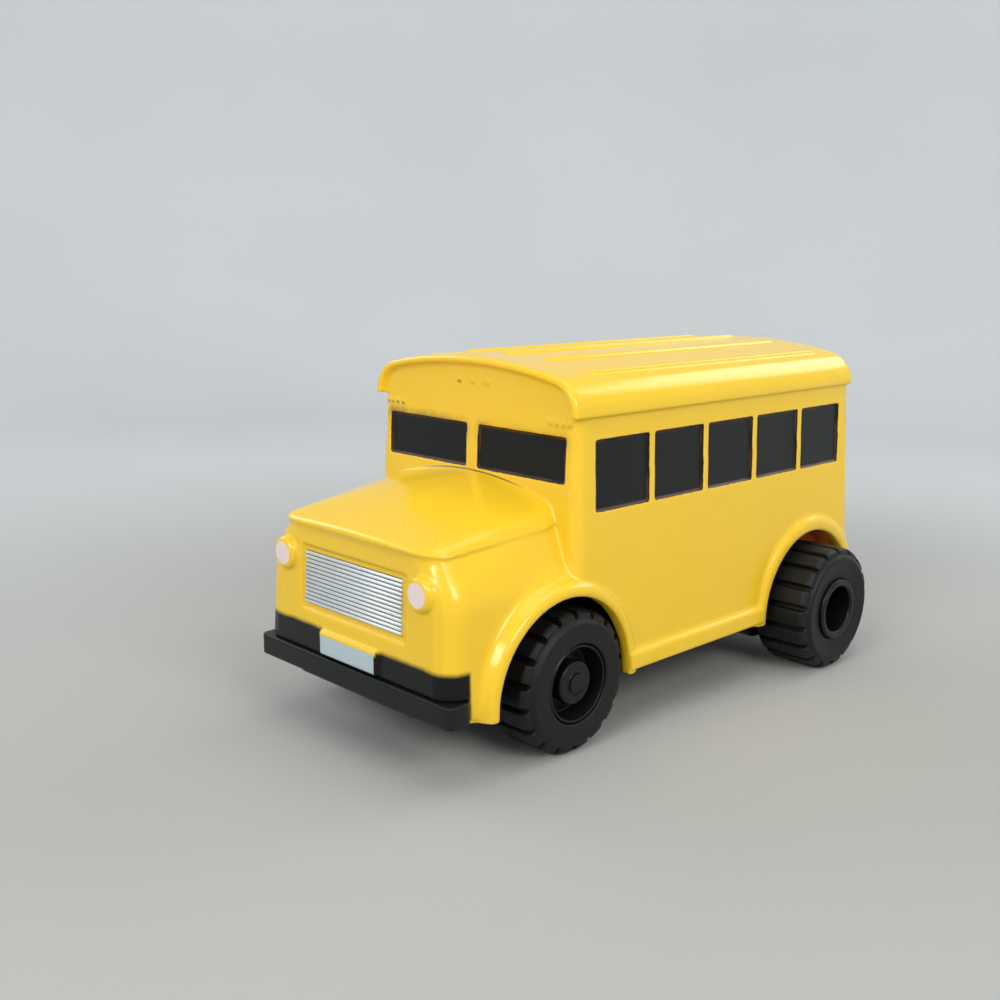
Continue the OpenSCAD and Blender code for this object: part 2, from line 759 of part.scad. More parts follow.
// Openings for the wheels in the body's sides
module arch_cuts() {
    x0 = post_x + post_r + drop_clear;
    both_sides() {
        rod(x0, CUT, front_arch_y, arch_z, front_arch_r);
        box([x0, front_arch_y - front_arch_r, 0], [CUT, front_arch_y + front_arch_r, arch_z]);
        intersection() {
            union() {
                rod(outer_wall_x1, CUT, rear_axle_y, arch_z, rear_arch_r);
                box([outer_wall_x1, rear_axle_y - rear_arch_r, 0], [CUT, rear_axle_y + rear_arch_r, arch_z]);
            }
            box([0, front_end_y, 0], [CUT, rear_y(eaves_z) - wall + 0.5, eaves_z]);
        }
    }
}

// A row of sunk panes in a side wall
module side_window_cuts() {
    z1 = eaves_z - window_drop;
    both_sides()
        for (i = [0 : side_windows - 1]) {
            y = y0 + window_start + i * window_pitch;
            translate([side_x(z1) - window_sink, y, z1]) rotate([0, -draft, 0])
                translate([0, 0, -window_h]) cube([wall + eaves_out, window_w, window_h]);
        }
}

module windscreen_cuts() {
    z1 = eaves_z - windscreen_drop;
    x1 = half_w - windscreen_edge;
    both_sides()
        translate([windscreen_post / 2, front_y(z1) + window_sink, z1]) rotate([-draft, 0, 0])
            translate([0, -wall, -windscreen_h]) cube([x1 - windscreen_post / 2, wall, windscreen_h]);
}

// Door with its window and one window on each side in the rear wall
module rear_window_cuts() {
    z1 = eaves_z - window_drop;
    for (i = [-1 : 1])
        translate([i * rear_window_pitch, rear_y(z1) - window_sink, z1]) rotate([draft, 0, 0])
            translate([-rear_window_w / 2, 0, -window_h]) cube([rear_window_w, wall, window_h]);
    door_half = rear_window_pitch / 2;
    groove = 0.4;
    z_low = bumper_top_z + 2;
    for (x = [-door_half, door_half])
        translate([x - groove / 2, rear_y(z1 + 1) - groove, z1 + 1]) rotate([draft, 0, 0])
            translate([0, 0, z_low - z1 - 1]) cube([groove, wall, z1 + 1 - z_low]);
}

// Sunk frame of the grille
module grille_cut() {
    half = grille_w / 2 + grille_frame;
    translate([0, nose_y(grille_z), grille_z]) rotate([-draft, 0, 0])
        box([-half, -wall, -grille_frame], [half, grille_sink, grille_h + grille_frame]);
}

module grille_bar_row() {
    pitch = grille_h / grille_bars;
    bar_r = pitch * 0.36;
    translate([0, nose_y(grille_z) + grille_sink, grille_z]) rotate([-draft, 0, 0])
        for (i = [0 : grille_bars - 1])
            translate([-grille_w / 2, -bar_r * 0.4, pitch * (i + 0.5)]) rotate([0, 90, 0]) {
                cylinder(h = grille_w, r = bar_r);
                translate([-bar_r, 0, 0]) cube([bar_r * 2, wall / 2, grille_w]);
            }
}

module headlamps() {
    rim = 0.4;
    both_sides()
        translate([nose_half - lamp_in, nose_y(lamp_z), lamp_z]) rotate([90, 0, 0]) rotate_extrude()
            polygon([[0, -wall / 2], [lamp_d / 2, -wall / 2], [lamp_d / 2, lamp_out - rim],
                [lamp_d / 2 - rim, lamp_out], [0, lamp_out]]);
}

// Blank plate on a block over the front bumper
module plate_block() {
    z_low = bumper_top_z + 0.45;
    base = plate_w / 2 + 0.6;
    translate([0, 0, z_low]) linear_extrude(plate_h)
        polygon([[-base, nose_y(z_low) + wall / 2], [base, nose_y(z_low) + wall / 2], [base, nose_y(z_low)],
            [plate_w / 2, front_end_y + EPS], [-plate_w / 2, front_end_y + EPS], [-base, nose_y(z_low)]]);
}

// Small moulded marker lamps over the windscreen
module marker_lamps() {
    lamp_h = 0.7;
    middle_w = 0.9;
    middle_pitch = 2.85;
    corner_w = 0.7;
    corner_pitch = 1.15;
    y = front_y(eaves_z) - 0.25;
    for (i = [-1 : 1])
        translate([i * middle_pitch - middle_w / 2, y, eaves_z + 3]) cube([middle_w, wall, lamp_h]);
    both_sides()
        for (i = [0 : 3])
            translate([half_w - 5.2 + i * corner_pitch - corner_w / 2, y, eaves_z - 1.2])
                cube([corner_w, wall, lamp_h]);
}

// Room for the bumper bars under the body's front and rear walls
module bumper_cuts() {
    box([-CUT, front_end_y - 1, 0], [CUT, front_end_y + bumper_depth + 0.1, bumper_top_z]);
    box([-CUT, rear_end_y - rear_bumper_depth - 0.1, 0], [CUT, rear_end_y + 1, bumper_top_z]);
}

module body_shell() color(YELLOW) {
    difference() {
        union() {
            difference() {
                union() {
                    cabin_block(0, skirt_z);
                    roof();
                    bonnet(0, skirt_z, 0, y0 + wall / 2);
                    hood();
                    fenders();
                    sills();
                    roof_ribs();
                }
                cabin_block(wall, skirt_z - 1);
                along_y(y0 + wall, rear_y(eaves_z) - wall) roof_outline(wall + eaves_out, eaves_z - 1);
                bonnet(wall, skirt_z - 1, wall, y0 + wall + 1);
            }
            rear_wells();
            shell_posts();
        }
        arch_cuts();
        side_window_cuts();
        windscreen_cuts();
        rear_window_cuts();
        grille_cut();
        bumper_cuts();
        for (x = [-post_x, post_x], y = [front_post_y, rear_post_y])
            translate([x, y, post_z0 - EPS]) cylinder(h = post_bore_len, r = body_screw_d / 2 + fit_clear);
    }
    grille_bar_row();
    headlamps();
    plate_block();
    marker_lamps();
}

// Side view of a gear bay: its floor steps down behind the wheel
module gear_bay_side(inset, top) polygon([[pod_y0 + inset, top], [pod_y0 + inset, bay_front_z + inset],
    [step_y0 + inset / 3, bay_front_z + inset], [step_y1 + inset / 3, bay_low_z + inset],
    [tray_y1 - inset, bay_low_z + inset], [tray_y1 - inset, top]]);

// Tray of the chassis, with the bay for the gears on each side
module tray_outer() {
    box([-tray_x1, tray_y0, tray_z0], [tray_x1, tray_y1, flange_z1]);
    box([-tray_x1, pod_y0, flange_z0], [tray_x1, tray_y1, axle_z + motor_flat / 2]);
    both_sides() {
        across(tray_x0, outer_wall_x1) gear_bay_side(0, flange_z0 + EPS);
        for (y = [rear_axle_y, idler_y])
            gear_wall_ear(y);
    }
}

// Ear on the outer gear wall that carries a shaft
module gear_wall_ear(y) {
    box([outer_wall_x0, y - ear_r, tray_z1], [outer_wall_x1, y + ear_r, axle_z]);
    rod(outer_wall_x0, outer_wall_x1, y, axle_z, ear_r);
}

module tray_inner() {
    box([-tray_x0, tray_y0 + tray_t, tray_z1], [tray_x0, tray_y1 - tray_t, CUT]);
    both_sides() across(tray_x1, outer_wall_x0) gear_bay_side(gear_wall_t, CUT);
}

module flange_plate() {
    difference() {
        box([-flange_half, flange_y0 + 1, flange_z0], [flange_half, flange_y1, flange_z1]);
        both_sides() {
            room = tyre_r + wheel_room;
            box([tray_x1, front_axle_y - room, 0], [CUT, front_axle_y + room, CUT]);
            box([outer_wall_x1, rear_axle_y - room, 0], [CUT, rear_end_y + 1, CUT]);
        }
        box([-tray_x0, tray_y0 + tray_t, 0], [tray_x0, tray_y1 - tray_t, CUT]);
        both_sides()
            box([tray_x1, pod_y0 + gear_wall_t, 0], [outer_wall_x0, tray_y1 - gear_wall_t, CUT]);
        cube_half = nose_x(flange_z1) - wall - drop_clear;
        both_sides() box([cube_half, front_end_y, 0], [CUT, y0 - 1, CUT]);
        corner_y = nose_y(flange_z1) + wall + nose_r + drop_clear;
        both_sides() box([post_x + post_r + drop_clear, front_end_y, 0], [CUT, corner_y, CUT]);
    }
}

module bumpers() {
    front_half = nose_x(bumper_top_z) + bumper_out;
    rear_half = side_x(bumper_top_z) - rear_bumper_in;
    z_low = bumper_top_z - bumper_h;
    rounded_block(front_half, front_end_y, front_end_y + bumper_depth, z_low, bumper_top_z, bumper_r);
    rounded_block(rear_half, rear_end_y - rear_bumper_depth, rear_end_y, z_low, bumper_top_z, bumper_r);
    box([-post_x, flange_y0 - 1, flange_z0], [post_x, flange_y0 + 2, flange_z1]);
    box([-post_x, flange_y1 - 2, flange_z0], [post_x, rear_end_y - rear_bumper_depth + 1, flange_z1]);
}

// Bosses on the flange for the body screws, whose heads lie in pockets from below
module body_bosses() {
    for (x = [-post_x, post_x], y = [front_post_y, rear_post_y])
        translate([x, y, flange_z0]) cylinder(h = post_z0 - flange_z0, r = boss_r);
}

module body_boss_bores() {
    for (x = [-post_x, post_x], y = [front_post_y, rear_post_y]) {
        translate([x, y, 0]) cylinder(h = screw_seat_z, r = body_head_d / 2 + drop_clear);
        translate([x, y, 0]) cylinder(h = CUT, r = body_screw_d / 2 + drop_clear);
    }
}

module bay_walls() {
    half = bay_half + bay_wall;
    box([-half, bay_y0 - bay_wall, tray_z1 - EPS], [half, bay_y1 + bay_wall, bay_top_z]);
    translate([0, door_screw_y, tray_z1 + EPS]) cylinder(h = door_screw_len + 1, r = small_boss_r);
    for (y = [standoff_front_y, standoff_rear_y])
        translate([0, y, bay_top_z - EPS]) cylinder(h = standoff_h + EPS, r = standoff_r);
}

module bay_room() {
    box([-bay_half, bay_y0, tray_z1 - CUT], [bay_half, bay_y1, bay_z1]);
    box([-bay_half, door_y0, tray_z0 - 1], [bay_half, door_y1, tray_z1]);
    box([-bay_half / 2 - drop_clear, door_y0 - tongue_len - drop_clear, tray_z1],
        [bay_half / 2 + drop_clear, bay_y0, tray_z1 + tongue_t + drop_clear]);
    translate([0, door_screw_y, 0]) cylinder(h = tray_z1 + door_screw_len, r = small_screw_d / 2 + fit_clear);
    for (y = [standoff_front_y, standoff_rear_y])
        translate([0, y, bay_z1 + bay_wall / 3]) cylinder(h = CUT, r = small_screw_d / 2 + fit_clear);
}

// Cradles, posts and ribs inside the tray
module tray_fittings() {
    cradle_w = 1.6;
    for (x = [motor_x0 + 0.6, motor_x1 - cradle_w - 0.6])
        both_sides() box([x, motor_y - motor_w / 3, tray_z1 - EPS],
            [x + cradle_w, motor_y + motor_w / 3, axle_z - motor_flat / 2 - run_clear]);
    for (y = [clamp_front_y, clamp_rear_y])
        translate([0, y, tray_z1 - EPS]) cylinder(h = clamp_z0 - tray_z1 + EPS, r = clamp_post_r);
    both_sides() {
        rod(tray_x0 - 1.6, front_in_x - side_clear, front_axle_y, axle_z, axle_pin_d / 2 + 1.7);
        box([tray_x0 - 1.6, front_axle_y - axle_pin_d / 2 - 1.7, tray_z1 - EPS],
            [tray_x1, front_axle_y + axle_pin_d / 2 + 1.7, axle_z]);
        box([sensor_post_x - 0.8, sensor_y - sensor_board_l / 2, tray_z1 - EPS],
            [sensor_post_x + 0.8, sensor_y + sensor_board_l / 2, sensor_board_z]);
        box([switch_w / 2 + drop_clear, switch_y - switch_l / 2, tray_z1 - EPS],
            [switch_w / 2 + drop_clear + 1, switch_y + switch_l / 2, tray_z1 + switch_h]);
    }
}

module tray_bores() {
    both_sides() {
        rod(tray_x0 - 2, CUT, front_axle_y, axle_z, axle_pin_d / 2 + fit_clear);
        rod(tray_x0 - 2, outer_wall_x1 + 1, rear_axle_y, axle_z, rear_shaft_d / 2 + run_clear);
        rod(tray_x0 - 2, outer_wall_x1 + 1, idler_y, axle_z, idler_pin_d / 2 + fit_clear);
        rod(tray_x0 - 1, tray_x1 + 1, motor_y, axle_z, motor_shaft_d / 2 + 0.8 + drop_clear);
        box([tray_x0 - 1, motor_y - motor_shaft_d / 2 - 0.8 - drop_clear, axle_z],
            [tray_x1 + 1, motor_y + motor_shaft_d / 2 + 0.8 + drop_clear, CUT]);
        translate([sensor_x, sensor_y, 0]) cylinder(h = tray_z1 + 1, r = sensor_d / 2 + fit_clear);
    }
    for (y = [clamp_front_y, clamp_rear_y])
        translate([0, y, clamp_z0 - clamp_screw_len]) cylinder(h = CUT, r = small_screw_d / 2 + fit_clear);
    slot_x = knob_w / 2 + switch_travel / 2 + drop_clear;
    slot_y = knob_l / 2 + drop_clear;
    box([-slot_x, switch_y - slot_y, 0], [slot_x, switch_y + slot_y, tray_z1 + EPS]);
}

module chassis_base() color(BLACK) difference() {
    union() {
        difference() {
            tray_outer();
            tray_inner();
        }
        flange_plate();
        bumpers();
        body_bosses();
        bay_walls();
        tray_fittings();
    }
    bay_room();
    tray_bores();
    body_boss_bores();
}

// Pan-head screw that points up from z, with a cross recess in its head
module screw(d, length, head_d, head_h, recess) difference() {
    union() {
        translate([0, 0, -head_h]) cylinder(h = head_h, d = head_d);
        translate([0, 0, -EPS]) cylinder(h = length, d = d);
    }
    slot = [head_d * 0.6, head_d * 0.12, recess];
    for (a = [0, 90])
        rotate([0, 0, a]) translate([-slot.x / 2, -slot.y / 2, -head_h - EPS]) cube(slot);
}

module chassis_screws() color(STEEL)
    for (x = [-post_x, post_x], y = [front_post_y, rear_post_y])
        translate([x, y, screw_seat_z]) screw(body_screw_d, body_screw_len, body_head_d, body_head_h, 0.7);

module battery_door() color(BLACK) difference() {
    union() {
        half = bay_half - drop_clear;
        tongue_half = bay_half / 2;
        tongue_end = bay_y0 - drop_clear;
        tongue_top = tray_z1 + tongue_t;
        box([-half, door_y0 + drop_clear, tray_z0], [half, door_y1 - drop_clear, tray_z1]);
        box([-tongue_half, door_y0 - tongue_len, tray_z1 + run_clear], [tongue_half, tongue_end, tongue_top]);
        box([-tongue_half, door_y0 + drop_clear, tray_z1 - EPS], [tongue_half, tongue_end, tongue_top]);
    }
    translate([0, door_screw_y, tray_z0 - 1]) {
        cylinder(h = tray_t + 2, r = small_screw_d / 2 + drop_clear);
        cylinder(h = 1 + door_head_h + run_clear, r = small_head_d / 2 + drop_clear);
    }
}

module battery_door_screw() color(STEEL)
    translate([0, door_screw_y, tray_z0 + door_head_h + run_clear])
        screw(small_screw_d, door_screw_len, small_head_d, door_head_h, 0.3);

module button_cells() color(STEEL) {
    crimp = 0.5;
    r = cell_d / 2;
    cap_r = r - 2;
    top = cell_h - EPS;
    y_low = bay_y0 + contact_t + leaf_reach + drop_clear / 2;
    for (i = [0 : cells - 1])
        translate([0, y_low + i * cell_h, cell_z]) rotate([-90, 0, 0])
            rotate_extrude() polygon([[0, 0], [cap_r, 0], [cap_r + crimp, crimp], [r - crimp, crimp],
                [r, crimp * 2], [r, top], [0, top]]);
}

module battery_contact_plus() color(STEEL) {
    y = bay_y1 - contact_t;
    half = cell_d * 0.36;
    box([-half, y, cell_z - half], [half, bay_y1 - EPS, cell_z + half]);
}

// Bent leaf that presses the row of cells together
module battery_contact_minus() color(STEEL) {
    half = cell_d * 0.36;
    leaf_half = half * 0.55;
    tip = leaf_reach - contact_t - 0.1;
    box([-half, bay_y0, cell_z - half], [half, bay_y0 + contact_t, cell_z + half]);
    across(-leaf_half, leaf_half) translate([bay_y0 + contact_t, cell_z])
        polygon([[-EPS, half], [-EPS, half - 0.4], [tip, 0.4], [tip, -0.6], [tip + contact_t, -0.6],
            [tip + contact_t, 0.6], [0.35, half]]);
}

module circuit_board() color(GREEN) difference() {
    box([-board_w / 2, board_y0, board_z0], [board_w / 2, board_y0 + board_len, board_z1]);
    for (y = [standoff_front_y, standoff_rear_y])
        translate([0, y, board_z0 - 1]) cylinder(h = board_t + 2, r = small_screw_d / 2 + drop_clear);
}

module control_chip() color(BLACK) {
    y = (standoff_front_y + standoff_rear_y) / 2;
    box([-chip_w / 2, y - chip_l / 2, board_z1 + 0.1], [chip_w / 2, y + chip_l / 2, board_z1 + chip_h]);
    both_sides()
        for (i = [0 : 3])
            translate([chip_w / 2 - EPS, y - chip_l / 2 + 0.8 + i * 1.4, board_z1]) {
                cube([chip_lead, 0.4, 0.2]);
                cube([0.2, 0.4, chip_h / 2]);
            }
}

module board_screws() color(STEEL)
    for (y = [standoff_front_y, standoff_rear_y])
        translate([0, y, board_z1]) rotate([180, 0, 0])
            screw(small_screw_d, board_screw_len, small_head_d, small_head_h, 0.5);

module sensor_board() color(GREEN)
    box([-sensor_board_w / 2, sensor_y - sensor_board_l / 2, sensor_board_z],
        [sensor_board_w / 2, sensor_y + sensor_board_l / 2, sensor_board_z + board_t]);

// Round-nosed light part that looks down through the tray's floor
module sensor_part() {
    r = sensor_d / 2;
    translate([0, 0, sensor_tip_z]) rotate_extrude()
        polygon(rounded([[0, 0], [r, 0], [r, sensor_body_h], [0, sensor_body_h]], [0, r * 0.6, 0, 0]));
}

module sensor_emitter() color(WHITE) translate([-sensor_x, sensor_y, 0]) sensor_part();

module sensor_receiver() color(BLACK) translate([sensor_x, sensor_y, 0]) sensor_part();

module switch_body() color(BLACK) difference() {
    z_high = tray_z1 + switch_h;
    box([-switch_w / 2, switch_y - switch_l / 2, tray_z1], [switch_w / 2, switch_y + switch_l / 2, z_high]);
    half = knob_base_w / 2 + switch_travel / 2 + drop_clear;
    box([-half, switch_y - knob_l / 2 - drop_clear, tray_z1 - 1],
        [half, switch_y + knob_l / 2 + drop_clear, tray_z1 + knob_base_h + drop_clear]);
}

module switch_knob() color(WHITE) {
    box([knob_rest_x - knob_base_w / 2, switch_y - knob_l / 2, tray_z1 + run_clear],
        [knob_rest_x + knob_base_w / 2, switch_y + knob_l / 2, tray_z1 + knob_base_h]);
    box([knob_rest_x - knob_w / 2, switch_y - knob_l / 2, knob_tip_z],
        [knob_rest_x + knob_w / 2, switch_y + knob_l / 2, tray_z1 + knob_base_h]);
}

module motor_clamp() color(BLACK) difference() {
    union() {
        neck = clamp_post_r + 0.2;
        box([-motor_x1, motor_y - motor_w / 2, clamp_z0], [motor_x1, motor_y + motor_w / 2, clamp_z1]);
        box([-neck, clamp_front_y - neck, clamp_z0], [neck, clamp_rear_y + neck, clamp_z1]);
    }
    for (y = [clamp_front_y, clamp_rear_y])
        translate([0, y, 0]) cylinder(h = CUT, r = small_screw_d / 2 + drop_clear);
}

module motor_clamp_screws() color(STEEL)
    for (y = [clamp_front_y, clamp_rear_y])
        translate([0, y, clamp_z1]) rotate([180, 0, 0])
            screw(small_screw_d, clamp_screw_len, small_head_d, small_head_h, 0.5);

// Round motor section with two flats, drawn round the motor's axis
module motor_section(margin) intersection() {
    circle(d = motor_w - margin * 2);
    square([motor_w, motor_flat - margin * 2], center = true);
}

module motor_can() {
    boss_r = motor_shaft_d / 2 + 0.8;
    difference() {
        union() {
            along_x(motor_x0, motor_y, axle_z) linear_extrude(motor_can_len) motor_section(0);
            rod(motor_x1 - EPS, motor_x1 + 0.7, motor_y, axle_z, boss_r);
        }
        rod(motor_x0 + 1, motor_x1 + 1, motor_y, axle_z, motor_shaft_d / 2 + run_clear);
    }
}

module motor_end_cap() {
    along_x(cap_x0, motor_y, axle_z) linear_extrude(motor_cap_len) motor_section(0.3);
    for (y = [-2, 2])
        translate([cap_x0 - 0.3, motor_y + y - 0.4, axle_z - 0.6]) cube([0.3 + EPS, 0.8, 1.2]);
}

module motor_shaft() rod(motor_x0 + 1.2, big_x1 + 0.1, motor_y, axle_z, motor_shaft_d / 2);

// Involute tooth flanks: turn of the flank at radius r from its base circle
function involute(r, base) = r <= base ? 0 : sqrt(pow(r / base, 2) - 1) * 180 / PI - acos(base / r);

// Outline of a gear with its first tooth on the X axis
function gear_outline(teeth, addendum) =
    let (
        pitch_r = gear_module * teeth / 2,
        base = pitch_r * cos(PRESSURE),
        root = pitch_r - DEDENDUM * gear_module,
        tip = pitch_r + addendum * gear_module,
        half = 90 / teeth - backlash / 4 / pitch_r * 180 / PI,
        low = max(base, root + EPS),
        radii = [for (i = [0 : 4]) low + (tip - low) * i / 4],
        flank = [for (r = radii) [r, half + involute(pitch_r, base) - involute(r, base)]],
        root_turn = half + involute(pitch_r, base)
    )
    [for (t = [0 : teeth - 1]) let (turn = 360 * t / teeth) each concat(
        [root * [cos(turn - root_turn), sin(turn - root_turn)]],
        [for (f = flank) f[0] * [cos(turn - f[1]), sin(turn - f[1])]],
        [for (i = [4 : -1 : 0]) flank[i][0] * [cos(turn + flank[i][1]), sin(turn + flank[i][1])]],
        [root * [cos(turn + root_turn), sin(turn + root_turn)]])];

module gear_row(x0, x1, y, teeth, addendum, turn) along_x(x0, y, axle_z) rotate([0, 0, turn])
    linear_extrude(x1 - x0) polygon(gear_outline(teeth, addendum));

module motor_pinion() difference() {
    gear_row(big_x0 + 0.1, big_x1, motor_y, pinion_teeth, PINION_ADDENDUM, 180 / pinion_teeth);
    rod(big_x0, big_x1 + 1, motor_y, axle_z, motor_shaft_d / 2 + fit_clear);
}

module idler_gear() difference() {
    union() {
        gear_row(small_x0, big_x0 + EPS, idler_y, pinion_teeth, PINION_ADDENDUM, 0);
        gear_row(big_x0, big_x1 - 0.1, idler_y, gear_teeth, GEAR_ADDENDUM, even_teeth ? 0 : 180 / gear_teeth);
    }
    rod(0, CUT, idler_y, axle_z, idler_pin_d / 2 + run_clear);
}

module idler_pin() rod(tray_x0 + 0.1, outer_wall_x1 - 0.1, idler_y, axle_z, idler_pin_d / 2);

module wheel_gear() difference() {
    gear_row(small_x0, small_x1 - 0.05, rear_axle_y, gear_teeth, GEAR_ADDENDUM,
        even_teeth ? 180 / gear_teeth : 0);
    rod(0, CUT, rear_axle_y, axle_z, rear_shaft_d / 2 + fit_clear);
}

hub_web_x = rear_out_x - 0.2 - rear_hole_depth;
module rear_shaft() rod(tray_x0 - 0.6, hub_web_x + 0.6, rear_axle_y, axle_z, rear_shaft_d / 2);

// Hub with a deep round hole and a raised ring at its outer face
module rear_hub() {
    back_x = rear_in_x + 0.4;
    r = rear_hub_d / 2 - fit_clear;
    edge = 0.4;
    along_x(0, rear_axle_y, axle_z) rotate_extrude()
        polygon(concat(
            [[rear_shaft_d / 2 + fit_clear, back_x], [r, back_x]],
            corner_arc([r, back_x], [r, rear_out_x], [0, rear_out_x], edge),
            corner_arc([r, rear_out_x], [rear_hole_d / 2, rear_out_x], [rear_hole_d / 2, hub_web_x], edge),
            [[rear_hole_d / 2, hub_web_x], [rear_shaft_d / 2 + fit_clear, hub_web_x]]));
}

// Tyre with straight lugs across the tread. Its sidewall may sink towards the bore.
module tyre(out_x, width, y, bore_r, edge_r, dish) {
    in_x = out_x - width;
    base_r = tyre_r - lug_h;
    shoulder = 0.6;
    lug_root = 1;
    along_x(0, y, axle_z) {
        rotate_extrude() polygon(rounded(
            [[bore_r, in_x], [base_r, in_x], [base_r, out_x - shoulder], [base_r - shoulder, out_x],
                [bore_r, out_x - dish]],
            [0, 0.8, edge_r, edge_r, 0.2]));
        intersection() {
            for (i = [0 : lugs - 1])
                rotate([0, 0, 360 * i / lugs]) translate([base_r - lug_root, -lug_w / 2, in_x])
                    cube([lug_h + lug_root + 1, lug_w, width]);
            rotate_extrude() polygon([[base_r - lug_root, in_x + 0.4], [tyre_r - 0.8, in_x + 0.4],
                [tyre_r, in_x + 1.2], [tyre_r, out_x - 1.3], [tyre_r - 0.4, out_x - 0.7],
                [base_r - lug_root, out_x - 0.3]]);
        }
    }
}

module rear_tyre() tyre(rear_out_x, rear_tyre_w, rear_axle_y, rear_hub_d / 2, 0.7, 0.6);

module front_tyre() tyre(front_out_x, front_tyre_w, front_axle_y, front_rim_d / 2, 0.3, 0);

// Front rim: deep dish round the axle pin
module front_rim() {
    r = front_rim_d / 2 - fit_clear;
    lip_x = front_out_x - 0.15;
    dish_x = front_out_x - 3.2;
    head_x = front_out_x - pin_head_in - 1.4;
    hub_r = pin_head_d / 2 - 0.3;
    back_x = front_in_x + 0.2;
    bore = axle_pin_d / 2 + run_clear;
    along_x(0, front_axle_y, axle_z) rotate_extrude()
        polygon([[bore, back_x], [r, back_x], [r, lip_x - 0.3], [r - 0.3, lip_x], [r - 0.5, lip_x],
            [r - 0.8, dish_x], [hub_r, dish_x], [hub_r - 0.2, head_x], [bore, head_x]]);
}

// Axle pin with a wide head that keeps the front wheel on
module front_axle_pin() {
    head_x1 = front_out_x - pin_head_in;
    head_x0 = head_x1 - 1.2;
    r = axle_pin_d / 2;
    knob_r = 1.6;
    knob_h = 0.25;
    along_x(0, front_axle_y, axle_z) rotate_extrude()
        polygon(concat(
            [[0, tray_x0 - 1.4], [r, tray_x0 - 1.4], [r, head_x0], [pin_head_d / 2, head_x0]],
            corner_arc([pin_head_d / 2, head_x0], [pin_head_d / 2, head_x1], [0, head_x1], 0.4),
            [[knob_r, head_x1], [knob_r - 0.1, head_x1 + knob_h], [0, head_x1 + knob_h]]));
}

module motor_can_left() color(STEEL) motor_can();
module motor_can_right() color(STEEL) mirror([1, 0, 0]) motor_can();
module motor_end_cap_left() color(WHITE) motor_end_cap();
module motor_end_cap_right() color(WHITE) mirror([1, 0, 0]) motor_end_cap();
module motor_shaft_left() color(STEEL) motor_shaft();
module motor_shaft_right() color(STEEL) mirror([1, 0, 0]) motor_shaft();
module motor_pinion_left() color(AMBER) motor_pinion();
module motor_pinion_right() color(AMBER) mirror([1, 0, 0]) motor_pinion();
module idler_gear_left() color(WHITE) idler_gear();
module idler_gear_right() color(WHITE) mirror([1, 0, 0]) idler_gear();
module idler_pin_left() color(STEEL) idler_pin();
module idler_pin_right() color(STEEL) mirror([1, 0, 0]) idler_pin();
module wheel_gear_left() color(WHITE) wheel_gear();
module wheel_gear_right() color(WHITE) mirror([1, 0, 0]) wheel_gear();
module rear_shaft_left() color(STEEL) rear_shaft();
module rear_shaft_right() color(STEEL) mirror([1, 0, 0]) rear_shaft();
module rear_hub_left() color(BLACK) rear_hub();
module rear_hub_right() color(BLACK) mirror([1, 0, 0]) rear_hub();
module rear_tyre_left() color(RUBBER) rear_tyre();
module rear_tyre_right() color(RUBBER) mirror([1, 0, 0]) rear_tyre();
module front_rim_left() color(BLACK) front_rim();
module front_rim_right() color(BLACK) mirror([1, 0, 0]) front_rim();
module front_tyre_left() color(RUBBER) front_tyre();
module front_tyre_right() color(RUBBER) mirror([1, 0, 0]) front_tyre();
module front_axle_pin_left() color(BLACK) front_axle_pin();
module front_axle_pin_right() color(BLACK) mirror([1, 0, 0]) front_axle_pin();

body_shell();
chassis_base();
chassis_screws();
battery_door();
battery_door_screw();
button_cells();
battery_contact_plus();
battery_contact_minus();
circuit_board();
control_chip();
board_screws();
sensor_board();
sensor_emitter();
sensor_receiver();
switch_body();
switch_knob();
motor_clamp();
motor_clamp_screws();
motor_can_left();
motor_can_right();
motor_end_cap_left();
motor_end_cap_right();
motor_shaft_left();
motor_shaft_right();
motor_pinion_left();
motor_pinion_right();
idler_gear_left();
idler_gear_right();
idler_pin_left();
idler_pin_right();
wheel_gear_left();
wheel_gear_right();
rear_shaft_left();
rear_shaft_right();
rear_hub_left();
rear_hub_right();
rear_tyre_left();
rear_tyre_right();
front_rim_left();
front_rim_right();
front_tyre_left();
front_tyre_right();
front_axle_pin_left();
front_axle_pin_right();
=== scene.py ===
# %% [markdown]
# # A moulded toy school bus on a studio sweep
# The bus is a small battery toy: a hollow yellow body, a black chassis with bumpers, and four fat
# black tyres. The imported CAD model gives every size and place. This lesson puts the looks on it:
# soft moulded edges, sprayed paint, a foil grille and the finishes of the parts underneath. We
# start by loading the CAD frame, because each piece rides on one of its bodies.

# %% Load the frame
import json
import math

import bmesh
import bpy
import numpy as np
from mathutils import Matrix, Vector


